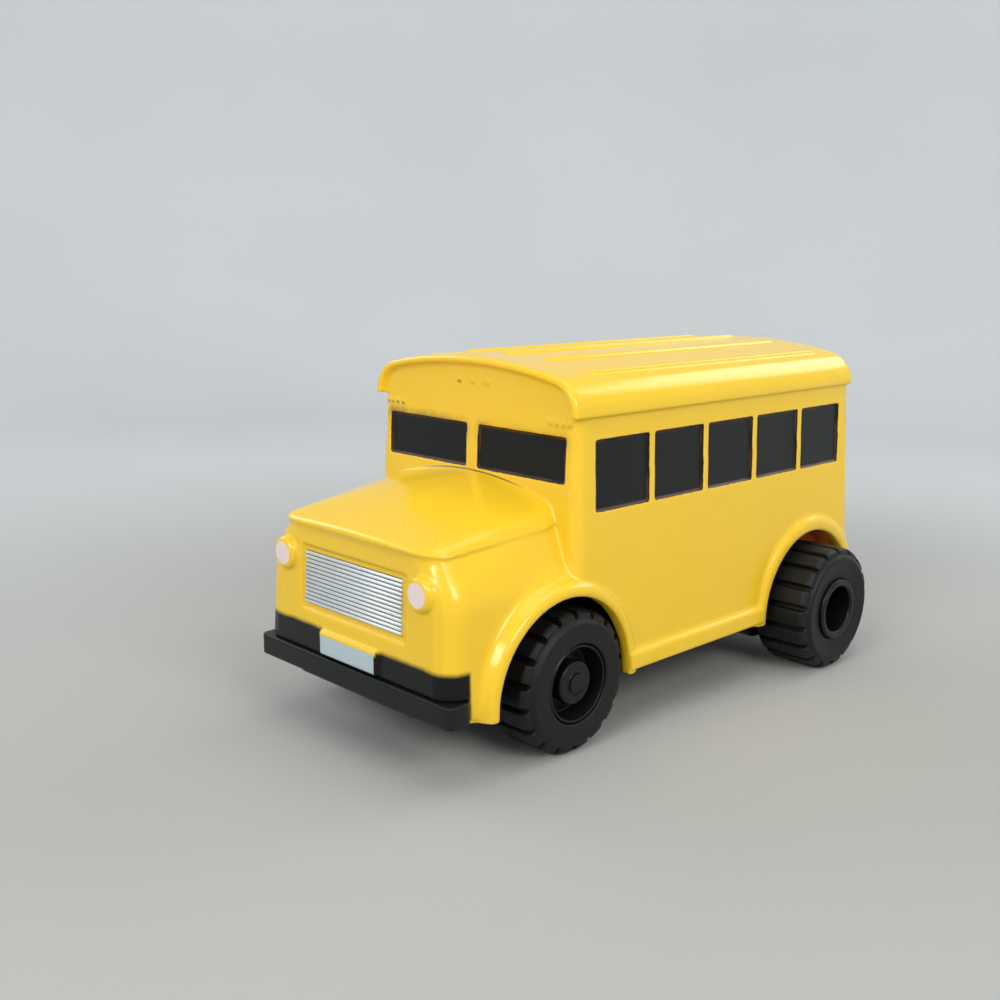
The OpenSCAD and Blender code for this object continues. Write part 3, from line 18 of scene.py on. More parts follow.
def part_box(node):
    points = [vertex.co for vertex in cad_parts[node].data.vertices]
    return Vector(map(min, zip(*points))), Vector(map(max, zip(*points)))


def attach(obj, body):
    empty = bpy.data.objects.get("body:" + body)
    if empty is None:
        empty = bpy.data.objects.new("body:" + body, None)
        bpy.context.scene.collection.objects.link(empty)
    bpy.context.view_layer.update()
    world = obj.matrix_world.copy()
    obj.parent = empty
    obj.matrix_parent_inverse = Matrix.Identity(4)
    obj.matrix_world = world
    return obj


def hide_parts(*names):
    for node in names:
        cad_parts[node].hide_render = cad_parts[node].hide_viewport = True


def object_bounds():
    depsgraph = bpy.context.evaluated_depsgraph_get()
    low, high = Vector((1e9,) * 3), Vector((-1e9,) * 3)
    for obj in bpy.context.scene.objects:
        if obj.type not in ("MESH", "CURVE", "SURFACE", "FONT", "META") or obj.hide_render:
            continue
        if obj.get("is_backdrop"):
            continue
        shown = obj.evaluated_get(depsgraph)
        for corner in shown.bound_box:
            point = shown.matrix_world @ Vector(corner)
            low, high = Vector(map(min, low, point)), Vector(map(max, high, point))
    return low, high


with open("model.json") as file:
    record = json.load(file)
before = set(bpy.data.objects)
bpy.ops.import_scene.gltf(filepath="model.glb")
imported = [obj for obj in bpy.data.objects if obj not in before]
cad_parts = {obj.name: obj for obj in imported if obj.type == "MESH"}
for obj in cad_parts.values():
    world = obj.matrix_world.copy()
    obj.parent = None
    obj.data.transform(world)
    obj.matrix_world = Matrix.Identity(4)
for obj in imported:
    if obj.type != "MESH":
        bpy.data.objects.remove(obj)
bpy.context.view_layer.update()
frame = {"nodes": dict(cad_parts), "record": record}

MM = 0.001

# %% [markdown]
# ## The camera
# The photograph looks at the bus's front left corner from a little above its roof, at arm's
# length. The camera could be aimed at a point, but here its three directions are known from the
# straight edges of the cabin, so we write them as a matrix: its right, its up, and the way back
# from the lens.

# %% Camera
RIGHT = Vector((0.69543, 0.71853, 0.00836))
UP = Vector((-0.15244, 0.13616, 0.97888))
BACK = RIGHT.cross(UP)
CAMERA_PLACE = (0.12008, -0.1345, 0.06536)
SENSOR_MM, LENS_MM, NEAREST = 36, 42.79, 0.01


def placed(name, data):
    """A new object in the scene."""
    item = bpy.data.objects.new(name, data)
    bpy.context.scene.collection.objects.link(item)
    return item


camera = placed("camera", bpy.data.cameras.new("camera"))
camera.data.sensor_width = SENSOR_MM
camera.data.lens = LENS_MM
camera.data.clip_start = NEAREST
turn = Matrix((RIGHT, UP, BACK)).transposed().to_4x4()
camera.matrix_world = Matrix.Translation(CAMERA_PLACE) @ turn
bpy.context.scene.camera = camera
print("camera looks along", [round(v, 3) for v in -BACK])

# %% [markdown]
# ## Helpers for materials
# Colours are written as sRGB hex, as a paint chip would be read, and one function turns them to
# the linear values that the shader needs. Another adds a node: its options, then its inputs, which
# are either values or links. Almost every real surface is a little cloudy, so a last helper mixes
# two close colours by a noise whose size is given in millimetres.

# %% Colour and node helpers
def srgb(code):
    """Linear RGBA of an sRGB hex colour such as f2b705."""
    parts = [int(code[i:i + 2], 16) / 255 for i in (0, 2, 4)]
    return [p / 12.92 if p <= 0.04045 else ((p + 0.055) / 1.055) ** 2.4 for p in parts] + [1.0]


def plug(tree, node, inputs):
    """Fills a node's inputs with values, or with links from the given output sockets."""
    for name, value in inputs.items():
        if isinstance(value, bpy.types.NodeSocket):
            tree.links.new(value, node.inputs[name])
        else:
            node.inputs[name].default_value = value


def add(tree, kind, inputs, **options):
    """Adds one shader node with its options and inputs."""
    made = tree.nodes.new("ShaderNode" + kind)
    for name, value in options.items():
        setattr(made, name, value)
    plug(tree, made, inputs)
    return made


def new_material(name):
    """An empty material with a Principled shader, and its place in millimetres on the piece."""
    material = bpy.data.materials.new(name)
    material.use_nodes = True
    tree = material.node_tree
    shader = tree.nodes["Principled BSDF"]
    place = add(tree, "TexCoord", {})
    in_mm = add(tree, "VectorMath", {0: place.outputs["Object"], "Scale": 1 / MM},
                operation="SCALE")
    return material, tree, shader, in_mm.outputs["Vector"]


def mottled(tree, mm, size, detail, dark, light):
    """A cloudy colour between two hex colours: its noise and its colour. size is in mm."""
    noise = add(tree, "TexNoise", {"Vector": mm, "Scale": 1 / size, "Detail": detail})
    fac = noise.outputs["Fac"]
    mix = add(tree, "Mix", {"Factor": fac, "A": srgb(dark), "B": srgb(light)}, data_type="RGBA")
    return fac, mix.outputs["Result"]


print("f2b705 is", [round(v, 3) for v in srgb("f2b705")])

# %% [markdown]
# ## The sweep
# The toy stands on a pale cloth that rises behind it without an edge. A flat floor would end in a
# hard horizon, so we turn one profile round the bus: floor, a wide cove and a low wall. It looks
# the same from every side, and it stands far enough away that no camera of the other views ends
# up behind it.

# %% Sweep
FLOOR_R, COVE_R, WALL_TOP = 0.30, 0.16, 0.22
COVE_STEPS, ROUND_STEPS = 24, 128


def meshed(bm, name):
    """Turns a finished bmesh into a mesh."""
    mesh = bpy.data.meshes.new(name)
    bm.to_mesh(mesh)
    bm.free()
    return mesh


profile = [(0.0, 0.0), (FLOOR_R, 0.0)]
for i in range(1, COVE_STEPS + 1):
    a = math.pi / 2 * i / COVE_STEPS
    profile.append((FLOOR_R + COVE_R * math.sin(a), COVE_R * (1 - math.cos(a))))
profile.append((FLOOR_R + COVE_R, WALL_TOP))
bm = bmesh.new()
line = [bm.verts.new((r, 0, z)) for r, z in profile]
edges = [bm.edges.new(pair) for pair in zip(line, line[1:])]
bmesh.ops.spin(bm, geom=line + edges, axis=(0, 0, 1), cent=(0, 0, 0), angle=math.tau,
               steps=ROUND_STEPS, use_merge=True)
bmesh.ops.remove_doubles(bm, verts=bm.verts, dist=1e-6)
bmesh.ops.recalc_face_normals(bm, faces=bm.faces)
for face in bm.faces:
    face.smooth = True
sweep = placed("sweep", meshed(bm, "sweep"))
sweep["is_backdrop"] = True
print("sweep", len(sweep.data.polygons), "faces")

# %% [markdown]
# ## Cotton cloth
# The cloth is grey white and a little cooler and paler away from the toy, where more of the window
# falls on it. Lamps could make that difference, but it would change with every view, so the cloth's
# own colour does it, by the distance from the bus.

# %% Cloth
NEAR_MM, FAR_MM = 70.0, 230.0

cloth, tree, shader, mm = new_material("pale_cotton_sweep")
near = mottled(tree, mm, 120, 2.0, "a9acab", "b2b4b3")[1]
far = mottled(tree, mm, 120, 2.0, "bec3c6", "c8cdd0")[1]
from_bus = add(tree, "VectorMath", {0: mm}, operation="LENGTH").outputs["Value"]
away = add(tree, "MapRange", {"Value": from_bus, "From Min": NEAR_MM, "From Max": FAR_MM},
           interpolation_type="SMOOTHSTEP")
tone = add(tree, "Mix", {"Factor": away.outputs["Result"], "A": near, "B": far}, data_type="RGBA")
weave = add(tree, "TexNoise", {"Vector": mm, "Scale": 1 / 0.6, "Detail": 3.0})
thread = add(tree, "Bump", {"Height": weave.outputs["Fac"], "Strength": 0.12,
                            "Distance": 0.2 * MM})
plug(tree, shader, {"Base Color": tone.outputs["Result"], "Normal": thread.outputs["Normal"],
                    "Roughness": 0.9, "Specular IOR Level": 0.1})
sweep.data.materials.append(cloth)
print("cloth", cloth.name)

# %% [markdown]
# ## Light
# The photograph has the even light of windows and a white room. A pale world gives the fill; where
# the camera looks past the wall, it sees the cloth's grey instead, through Light Path. One wide
# lamp overhead gives the roof and the bonnet their broad sheen. Lamps that look in over the wall
# light the side and the front and, more faintly, the far side and the back. All are large, so the
# shadows stay soft, and their level is plain: a colour comes out about as written.

# %% World and lamps
MIDDLE = Vector((0, 0, 0.025))
LAMPS = (("overhead_window", (0.10, 0.15, 0.75), 0.60, 1.35, "fffdf8"),
         ("side_window", (0.588, -0.121, 0.34), 0.34, 2.75, "fffaf2"),
         ("front_window", (0.121, -0.588, 0.34), 0.34, 2.9, "fffaf2"),
         ("far_side_window", (-0.59, -0.10, 0.34), 0.34, 1.1, "fbfcff"),
         ("rear_window", (0.10, 0.59, 0.34), 0.34, 1.1, "fbfcff"))

world = bpy.data.worlds.new("white_room")
bpy.context.scene.world = world
world.use_nodes = True
room = world.node_tree
sky = room.nodes["Background"]
plug(room, sky, {"Color": srgb("f4f6f8"), "Strength": 0.5})
seen = add(room, "Background", {"Color": srgb("cdd3d5"), "Strength": 1.0})
ray = add(room, "LightPath", {})
either = add(room, "MixShader", {0: ray.outputs["Is Camera Ray"], 1: sky.outputs["Background"],
                                 2: seen.outputs["Background"]})
plug(room, room.nodes["World Output"], {"Surface": either.outputs["Shader"]})

for name, place, size, watts, tint in LAMPS:
    lamp = placed(name, bpy.data.lights.new(name, "AREA"))
    lamp.data.shape = "SQUARE"
    lamp.data.size = size
    lamp.data.energy = watts
    lamp.data.color = srgb(tint)[:3]
    lamp.location = place
    lamp.rotation_mode = "QUATERNION"
    lamp.rotation_quaternion = (MIDDLE - Vector(place)).to_track_quat("-Z", "Y")
    lamp.visible_camera = False
bpy.context.scene.view_settings.view_transform = "Standard"

# %% [markdown]
# ## Soft moulded edges
# A steel mould never has knife edges, so each edge of the real toy rolls over a few tenths of a
# millimetre. A Bevel modifier would need clean edge loops, which a CAD mesh doesn't have. Instead
# we give a copy of the CAD node an even skin of small quads with a voxel Remesh, relax it with
# Smooth, which rounds edges and leaves flats flat, and thin it out with Decimate. Where a form
# flows, such as a roof or a bonnet, a vertex group lets a second Smooth work longer. The thinned
# copy then borrows its normals from the dense skin, so that the gloss runs smoothly over it.

# %% Relaxing helpers
def applied(piece):
    """Replaces a piece's mesh by the result of its modifiers."""
    graph = bpy.context.evaluated_depsgraph_get()
    result = bpy.data.meshes.new_from_object(piece.evaluated_get(graph))
    old = piece.data
    piece.modifiers.clear()
    piece.data = result
    bpy.data.meshes.remove(old)


def relaxed(skin, name, rounds):
    """Adds a Smooth modifier that runs a number of rounds."""
    relax = skin.modifiers.new(name, "SMOOTH")
    relax.factor = 0.5
    relax.iterations = rounds
    return relax


def weighted(skin, soft):
    """A vertex group with the weights that soft gives for the skin's points, in mm."""
    places = np.empty(len(skin.data.vertices) * 3)
    skin.data.vertices.foreach_get("co", places)
    weights = np.round(soft(*(places.reshape(-1, 3).T / MM)), 1)
    group = skin.vertex_groups.new(name="soft_form")
    for weight in np.unique(weights[weights > 0]):
        group.add(np.flatnonzero(weights == weight).tolist(), float(weight), "REPLACE")
    return group.name


print("relaxing helpers ready")

# %% [markdown]
# ## From CAD node to moulded piece
# The helper below runs those steps in order and lets the new piece ride on the node's own body. A
# fine voxel keeps small lugs and a coarse one makes broad walls cheaper, so each piece names its
# own voxel, its rounds of relaxing and the share of faces that it keeps.

# %% Moulding helper
def moulded(node, name, voxel, rounds, keep, soft=None, soft_rounds=0):
    """A copy of a CAD node with rolled edges. voxel is in mm."""
    skin = placed(name + "_skin", frame["nodes"][node].data.copy())
    even = skin.modifiers.new("even_skin", "REMESH")
    even.mode = "VOXEL"
    even.voxel_size = voxel * MM
    even.use_smooth_shade = True
    relaxed(skin, "roll_edges", rounds)
    applied(skin)
    if soft:
        relaxed(skin, "flow", soft_rounds).vertex_group = weighted(skin, soft)
        applied(skin)
    piece = placed(name, skin.data.copy())
    thin = piece.modifiers.new("thin_out", "DECIMATE")
    thin.ratio = keep
    gloss = piece.modifiers.new("even_gloss", "DATA_TRANSFER")
    gloss.object = skin
    gloss.use_loop_data = True
    gloss.data_types_loops = {"CUSTOM_NORMAL"}
    gloss.loop_mapping = "POLYINTERP_NEAREST"
    applied(piece)
    dense = len(skin.data.polygons)
    old = skin.data
    bpy.data.objects.remove(skin)
    bpy.data.meshes.remove(old)
    bodies = frame["record"]["behaviour"]["bodies"]
    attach(piece, next(body for body, members in bodies.items() if node in members))
    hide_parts(node)
    piece.data.materials.clear()
    print(name, "dense", dense, "kept", len(piece.data.polygons), "faces")
    return piece


print("moulding helper ready")

# %% [markdown]
# ## Yellow ABS with sprayed paint
# The body is glossy ABS, an opaque but slightly waxy plastic, so a little light scatters inside it
# and deep shade turns orange. Its panes, the band over the bumper, the plate and the lamps are
# sprayed on through masks. Separate pieces could stand for the paint, but it has no thickness that
# shows, so we draw each mask in the material as a distance to a rounded pane, in millimetres on
# the piece. A distance also gives the thin reddish edge where the spray runs out.

# %% Paint masks
def step(tree, value, start, end):
    """A smooth step from 0 at start to 1 at end."""
    ramp = add(tree, "MapRange", {"Value": value, "From Min": start, "From Max": end},
               interpolation_type="SMOOTHSTEP")
    return ramp.outputs["Result"]


def product(tree, *factors):
    """All the factors multiplied."""
    total = factors[0]
    for factor in factors[1:]:
        total = add(tree, "Math", {0: total, 1: factor}, operation="MULTIPLY").outputs["Value"]
    return total


def pane(tree, across, up, centre, half, r):
    """Distance in mm to the outline of a pane with rounded corners; below zero inside it."""
    point = add(tree, "CombineXYZ", {"X": across, "Y": up})
    offset = add(tree, "VectorMath", {0: point.outputs["Vector"], 1: (*centre, 0)},
                 operation="SUBTRACT")
    size = add(tree, "VectorMath", {0: offset.outputs["Vector"]}, operation="ABSOLUTE")
    past = add(tree, "VectorMath", {0: size.outputs["Vector"], 1: (half[0] - r, half[1] - r, 0)},
               operation="SUBTRACT").outputs["Vector"]
    out = add(tree, "VectorMath", {0: past, 1: (0, 0, 0)}, operation="MAXIMUM")
    far = add(tree, "VectorMath", {0: out.outputs["Vector"]}, operation="LENGTH")
    each = add(tree, "SeparateXYZ", {"Vector": past}).outputs
    nearest = add(tree, "Math", {0: each["X"], 1: each["Y"]}, operation="MAXIMUM")
    deep = add(tree, "Math", {0: nearest.outputs["Value"], 1: 0.0}, operation="MINIMUM")
    whole = add(tree, "Math", {0: far.outputs["Value"], 1: deep.outputs["Value"]},
                operation="ADD")
    return add(tree, "Math", {0: whole.outputs["Value"], 1: r},
               operation="SUBTRACT").outputs["Value"]


print("mask helpers ready")

# %% [markdown]
# ## The bare plastic
# Before any paint, the moulding has faint flow clouds about a centimetre wide, where the melt
# cooled unevenly. We also split the place on the piece into its three axes here, because every
# mask below asks for them. X runs to the bus's left and Y to its back; most masks are the same on
# both sides and so use the distance from the middle.

# %% Bare plastic
abs_yellow, tree, shader, mm = new_material("moulded_yellow_abs")
axes = add(tree, "SeparateXYZ", {"Vector": mm}).outputs
x, y, z = axes["X"], axes["Y"], axes["Z"]
side = add(tree, "Math", {0: x}, operation="ABSOLUTE").outputs["Value"]
yellow = mottled(tree, mm, 14, 3.0, "f0c524", "f3cc2e")[1]
drift = add(tree, "TexNoise", {"Vector": mm, "Scale": 1 / 6, "Detail": 2.0}).outputs["Fac"]
print("plastic", abs_yellow.name)

# %% [markdown]
# ## Window panes
# The side row, the windscreen and the rear row are masked separately, each kept to its own wall. A
# row of equal panes needs only one pane: Wrap folds the whole row into one pitch.

# %% Panes
SHELL_Y0 = -23.545
SIDE_WALL, FRONT_WALL, REAR_WALL, EDGE = 18.8, -22.3, 42.5, 0.1
PANE_Z, PANE_HALF_H, PANE_R = 36.9, 4.7, 0.35
SIDE_PANE_Y, SIDE_PANE_PITCH, SIDE_PANE_HALF, SIDE_PANES = SHELL_Y0 + 9.1, 12.2, 5.45, 5
SCREEN_X, SCREEN_HALF, SCREEN_Z, SCREEN_HALF_H = 9.45, 8.25, 39.0, 3.0
REAR_PITCH, REAR_HALF, REAR_ROW_END = 12.0, 4.75, 18.0

row_start = SIDE_PANE_Y - SIDE_PANE_PITCH / 2
row_end = row_start + SIDE_PANES * SIDE_PANE_PITCH
in_row = add(tree, "Math", {0: y, 1: SIDE_PANE_Y + SIDE_PANE_PITCH / 2, 2: row_start},
             operation="WRAP").outputs["Value"]
side_pane = pane(tree, in_row, z, (SIDE_PANE_Y, PANE_Z), (SIDE_PANE_HALF, PANE_HALF_H), PANE_R)
on_side = product(tree, step(tree, side, SIDE_WALL, SIDE_WALL + EDGE),
                  step(tree, y, row_start, row_start + EDGE),
                  step(tree, y, row_end, row_end - EDGE))

screen = pane(tree, side, z, (SCREEN_X, SCREEN_Z), (SCREEN_HALF, SCREEN_HALF_H), PANE_R)
on_front = step(tree, y, FRONT_WALL, FRONT_WALL - EDGE)

in_rear = add(tree, "Math", {0: x, 1: REAR_PITCH / 2, 2: -REAR_PITCH / 2},
              operation="WRAP").outputs["Value"]
rear_pane = pane(tree, in_rear, z, (0, PANE_Z), (REAR_HALF, PANE_HALF_H), PANE_R)
on_rear = product(tree, step(tree, y, REAR_WALL, REAR_WALL + EDGE),
                  step(tree, side, REAR_ROW_END, REAR_ROW_END - EDGE))
print("side row from y", round(row_start, 2), "to", round(row_end, 2))

# %% [markdown]
# ## Edges of the spray
# The edge of sprayed paint wanders by almost a tenth of a millimetre, since the mask never sits
# quite tight. Just inside it lies a narrow red-brown ring, broken up by a noise. A noise moves the
# distance a little for the first, and a narrow ring of it gives the second.

# %% Spray edges
SPRAY_EDGE, SPRAY_OVER, WANDER = 0.05, 0.1, 0.07

fray = add(tree, "TexNoise", {"Vector": mm, "Scale": 1 / 0.7, "Detail": 2.0})
wander = add(tree, "MapRange", {"Value": fray.outputs["Fac"], "To Min": -WANDER,
                                "To Max": WANDER}).outputs["Result"]
painted, red_brown_rim = 0.0, 0.0
for distance, where in ((side_pane, on_side), (screen, on_front), (rear_pane, on_rear)):
    ragged = add(tree, "Math", {0: distance, 1: wander}, operation="ADD").outputs["Value"]
    one = product(tree, step(tree, ragged, SPRAY_OVER + SPRAY_EDGE, SPRAY_OVER - SPRAY_EDGE),
                  where)
    rim = product(tree, step(tree, ragged, 0.0, -0.1), step(tree, ragged, -0.4, -0.2), where)
    painted = add(tree, "Math", {0: painted, 1: one}, operation="MAXIMUM").outputs["Value"]
    red_brown_rim = add(tree, "Math", {0: red_brown_rim, 1: rim}, operation="MAXIMUM").outputs["Value"]
red_brown_rim = product(tree, red_brown_rim, step(tree, drift, 0.38, 0.56), 0.9)
print("spray edges within", SPRAY_OVER + SPRAY_EDGE + WANDER, "mm")

# %% [markdown]
# ## Overspray and painted shade
# A smoky breath of black lies round the top of the windscreen, thicker on the bus's right. A dark
# line of painted shade sits in the corner where the arched bonnet meets the cabin, and small
# painted shadows lie beside the rows of small marker lamps. The line follows the bonnet's arch, a
# parabola; the painted shadows use folded panes again, broken up by a noise.

# %% Overspray and painted shade
CREASE_HALF, CREASE_RISE, CREASE_TOP = 14.9, 2.3, 35.6
MARKER_SHADOW_HALF, MARKER_SHADOW_R, MARKER_SHADOW_EDGE = (0.3, 0.16), 0.15, 0.12

puff = add(tree, "TexNoise", {"Vector": mm, "Scale": 1 / 2.2, "Detail": 2.0}).outputs["Fac"]
thick = add(tree, "MapRange", {"Value": x, "From Min": -19.0, "From Max": 6.0, "To Min": 0.75,
                               "To Max": 0.2}).outputs["Result"]
smoke = product(tree, step(tree, screen, 1.5, 0.0), step(tree, z, 38.5, 42.0), on_front,
                step(tree, puff, 0.1, 0.7), thick)

arch = add(tree, "Math", {0: side, 1: 1 / CREASE_HALF}, operation="MULTIPLY").outputs["Value"]
arch = add(tree, "Math", {0: arch, 1: 2.0}, operation="POWER").outputs["Value"]
arch = add(tree, "Math", {0: arch, 1: CREASE_RISE, 2: z},
           operation="MULTIPLY_ADD").outputs["Value"]
off_arch = add(tree, "Math", {0: arch, 1: CREASE_TOP}, operation="SUBTRACT").outputs["Value"]
off_arch = add(tree, "Math", {0: off_arch}, operation="ABSOLUTE").outputs["Value"]
# Painted shade: a dark line in the crease between the bonnet and the cabin.
painted_shade = product(tree, step(tree, off_arch, 0.17, 0.05), step(tree, y, -23.9, -23.7), on_front,
                step(tree, side, 12.0, 7.0), 0.85)

# Each row of marker lamps: across, middle, pitch, shift of the painted shadow, height, first and
# last place
MARKERS = ((side, 14.95, 1.15, 0.0, 43.55, 14.3, 18.9), (x, 0.0, 2.85, 0.2, 47.75, -0.2, 4.0))
clear = add(tree, "MapRange", {"Value": x, "From Min": -6.0, "From Max": 6.0, "To Min": 0.75,
                               "To Max": 0.2}).outputs["Result"]
for across, middle, pitch, shift, up, first, last in MARKERS:
    row = add(tree, "Math", {0: across, 1: middle + pitch / 2, 2: middle - pitch / 2},
              operation="WRAP").outputs["Value"]
    # Painted shadow beside each marker lamp, added to the painted shade.
    marker_shadow = pane(tree, row, z, (middle + shift, up), MARKER_SHADOW_HALF, MARKER_SHADOW_R)
    marker_shadow = product(tree, step(tree, marker_shadow, MARKER_SHADOW_EDGE, 0.0),
                    step(tree, side, first, first + EDGE), step(tree, side, last, last - EDGE),
                    on_front, step(tree, puff, 0.35, 0.6), clear)
    painted_shade = add(tree, "Math", {0: painted_shade, 1: marker_shadow}, operation="MAXIMUM").outputs["Value"]
print("rows of marker lamps", len(MARKERS))

# %% [markdown]
# ## Wheel wells, band, lamps and plate
# Daylight shines through the thin roofs of the rear wheel wells and turns them red; that red is
# painted light, a red coat on the yellow round the rear arches. Over the front bumper lies a black
# band with a soft sprayed top edge, a little higher on the bus's right, which leaves the plate's
# block bare. The lamps' ends and the plate's face are pale.

# %% Wells and front paint
WELL_Y, WELL_Z, WELL_R = 31.955, 9.5, 12.2
BAND_WAVE, BAND_TILT, BAND_TOP, BAND_SOFT = 0.8, 0.012, 16.4, 0.9
LAMP_X, LAMP_Z, LAMP_R, LAMP_Y = 14.2, 24.7, 1.6, -45.3
PLATE_HALF, PLATE_Z, PLATE_HALF_H, PLATE_R, PLATE_Y = 5.75, 13.6, 1.4, 0.3, -45.5

in_plane = add(tree, "CombineXYZ", {"Y": y, "Z": z})
well_r = add(tree, "VectorMath", {0: in_plane.outputs["Vector"], 1: (0, WELL_Y, WELL_Z)},
             operation="DISTANCE").outputs["Value"]
# Painted light: the red of daylight through the wheel-well roofs, drawn as a colour mask.
painted_well_glow = product(tree, step(tree, well_r, WELL_R + 0.9, WELL_R + 0.3), step(tree, side, 20.6, 19.6),
               step(tree, z, 13.0, 17.0), 0.9)

band_z = add(tree, "Math", {0: drift, 1: BAND_WAVE, 2: z},
             operation="MULTIPLY_ADD").outputs["Value"]
band_z = add(tree, "Math", {0: x, 1: BAND_TILT, 2: band_z},
             operation="MULTIPLY_ADD").outputs["Value"]
on_block = product(tree, step(tree, side, 6.1, 5.8), step(tree, z, 14.6, 15.0))
off_block = add(tree, "Math", {0: 1.0, 1: on_block}, operation="SUBTRACT").outputs["Value"]
band = product(tree, step(tree, band_z, BAND_TOP, BAND_TOP - BAND_SOFT),
               step(tree, y, -41.3, -41.9), off_block)

lamp = pane(tree, side, z, (LAMP_X, LAMP_Z), (LAMP_R, LAMP_R), LAMP_R)
lamp_face = product(tree, step(tree, lamp, 0.05, -0.05), step(tree, y, LAMP_Y, LAMP_Y - EDGE))
plate = pane(tree, x, z, (0, PLATE_Z), (PLATE_HALF, PLATE_HALF_H), PLATE_R)
plate_face = product(tree, step(tree, plate, 0.05, -0.05), step(tree, y, PLATE_Y, PLATE_Y - EDGE))
print("band top at z", BAND_TOP - BAND_SOFT, "to", BAND_TOP)

# %% [markdown]
# ## Coats in order
# The order of the mixes follows the painter's, with the painted light slipped in: plastic, the
# painted red of light through the wheel wells, painted shade, the overspray, black, its red-brown
# ring, and the pale faces last. Black paint is duller than the moulding, and the pale paint duller
# still. Only the bare plastic scatters light inside: most in the red, which travels furthest. The
# skin has the faint orange peel of a polished mould.

# %% Coats and gloss
GLOSS_YELLOW, GLOSS_BLACK, GLOSS_PALE = 0.2, 0.34, 0.42
ABS_IOR, SCATTER = 1.54, 0.25

black = add(tree, "Math", {0: painted, 1: band}, operation="MAXIMUM").outputs["Value"]
pale = add(tree, "Math", {0: lamp_face, 1: plate_face}, operation="MAXIMUM").outputs["Value"]
colour = yellow
# The first two coats are painted light and shade: the wheel wells' red, then the crease and marker
# shadows.
for mask, paint in ((painted_well_glow, "d0561a"), (painted_shade, "5c4210"), (smoke, "2a2115"), (black, "0e100f"),
                    (red_brown_rim, "4e2f22"), (lamp_face, "e9dbd9"), (plate_face, "b4c6d0")):
    coat = add(tree, "Mix", {"Factor": mask, "A": colour, "B": srgb(paint)}, data_type="RGBA")
    colour = coat.outputs["Result"]
rough = add(tree, "Mix", {"Factor": black, "A": GLOSS_YELLOW, "B": GLOSS_BLACK},
            data_type="FLOAT").outputs["Result"]
rough = add(tree, "Mix", {"Factor": pale, "A": rough, "B": GLOSS_PALE},
            data_type="FLOAT").outputs["Result"]
tint = add(tree, "Mix", {"Factor": black, "A": srgb("ffffff"), "B": srgb("a8a8a8")},
           data_type="RGBA")
bare = add(tree, "Math", {0: 1.0, 1: black}, operation="SUBTRACT").outputs["Value"]
peel = add(tree, "TexNoise", {"Vector": mm, "Scale": 1 / 1.6, "Detail": 2.0})
peel_bump = add(tree, "Bump", {"Height": peel.outputs["Fac"], "Strength": 0.05,
                               "Distance": 0.05 * MM})
plug(tree, shader, {"Base Color": colour, "Roughness": rough, "IOR": ABS_IOR,
                    "Specular Tint": tint.outputs["Result"],
                    "Subsurface Weight": product(tree, bare, SCATTER),
                    "Subsurface Radius": (1.0, 0.45, 0.08), "Subsurface Scale": 0.7 * MM,
                    "Normal": peel_bump.outputs["Normal"]})
print("yellow ABS has", len(tree.nodes), "nodes")

# %% [markdown]
# ## The body
# The roof, the bonnet and the fenders are the forms that flow on the real toy. The weights below
# name them by where they are: over the eaves but clear of the ribs, the top of the bonnet inside
# its edge, the bonnet's cheeks and brow, and the fenders' outer slopes. Everything else keeps the
# short relaxing that only rolls the edges.

# %% Body forms
RIB_PITCH, RIB_HALF, RIB_Y0, RIB_Y1 = 8.0, 0.6, SHELL_Y0 + 5.8, SHELL_Y0 + 61.2
EAVES_Z, BROW_Z, CHEEK_Z, CHEEK_X = 45.3, 27.6, 23.0, 15.8
HOOD_LONG, HOOD_EDGE_BACK, HOOD_EDGE_FRONT = 21.2, 30.8, 28.9
NOSE_Y = SHELL_Y0 - HOOD_LONG
FENDERS = ((-25.745, 12.4, 16.6), (WELL_Y, WELL_R, 17.0))


def rise(value, start, end):
    """A straight step from 0 at start to 1 at end."""
    return np.clip((value - start) / (end - start), 0, 1)


def body_forms(x, y, z):
    """How freely each place of the body may flow, from 0 to 1."""
    side = np.abs(x)
    beside_rib = np.abs(np.mod(x + RIB_PITCH / 2, RIB_PITCH) - RIB_PITCH / 2)
    no_rib = np.maximum.reduce([rise(beside_rib, RIB_HALF + 0.3, RIB_HALF + 0.9),
                                rise(y, RIB_Y0 - 0.3, RIB_Y0 - 0.9),
                                rise(y, RIB_Y1 + 0.3, RIB_Y1 + 0.9)])
    roof = rise(z, EAVES_Z, EAVES_Z + 0.7) * no_rib * rise(y, SHELL_Y0 + 1.2, SHELL_Y0 + 2.0)
    forward = (SHELL_Y0 - y) / HOOD_LONG
    edge = HOOD_EDGE_BACK + (HOOD_EDGE_FRONT - HOOD_EDGE_BACK) * forward
    hood = rise(z, edge + 0.3, edge + 0.9) * rise(y, SHELL_Y0 - 0.6, SHELL_Y0 - 1.4)
    brow = rise(y, NOSE_Y + 2.2, NOSE_Y + 1.2) * rise(z, BROW_Z, BROW_Z + 0.6)
    cheek = (rise(z, edge - 0.5, edge - 1.1) * rise(z, CHEEK_Z, CHEEK_Z + 0.6)
             * rise(side, CHEEK_X, CHEEK_X + 0.6) * rise(y, SHELL_Y0 - 0.3, SHELL_Y0 - 1.0))
    fender = np.zeros_like(x)
    for axle_y, inner, outer in FENDERS:
        r = np.hypot(y - axle_y, np.maximum(z - WELL_Z, 0))
        slope = (rise(r, inner + 0.3, inner + 0.9) * rise(r, outer + 0.8, outer)
                 * rise(side, 18.3, 18.8) * rise(z, 11.0, 12.0))
        fender = np.maximum(fender, slope)
    return np.maximum.reduce([0.6 * roof, 0.6 * hood, 0.5 * cheek, 0.25 * fender, brow])


shell = moulded("body_shell", "bus_body", 0.2, 5, 0.13, body_forms, 60)
shell.data.materials.append(abs_yellow)

# %% [markdown]
# ## Black parts
# The chassis is satin black ABS, and the tyres are a soft black plastic with a duller, faintly
# dusty face. The rims, hubs and axle pins are glossier. All take the same moulding helper; only
# their grain and gloss differ.

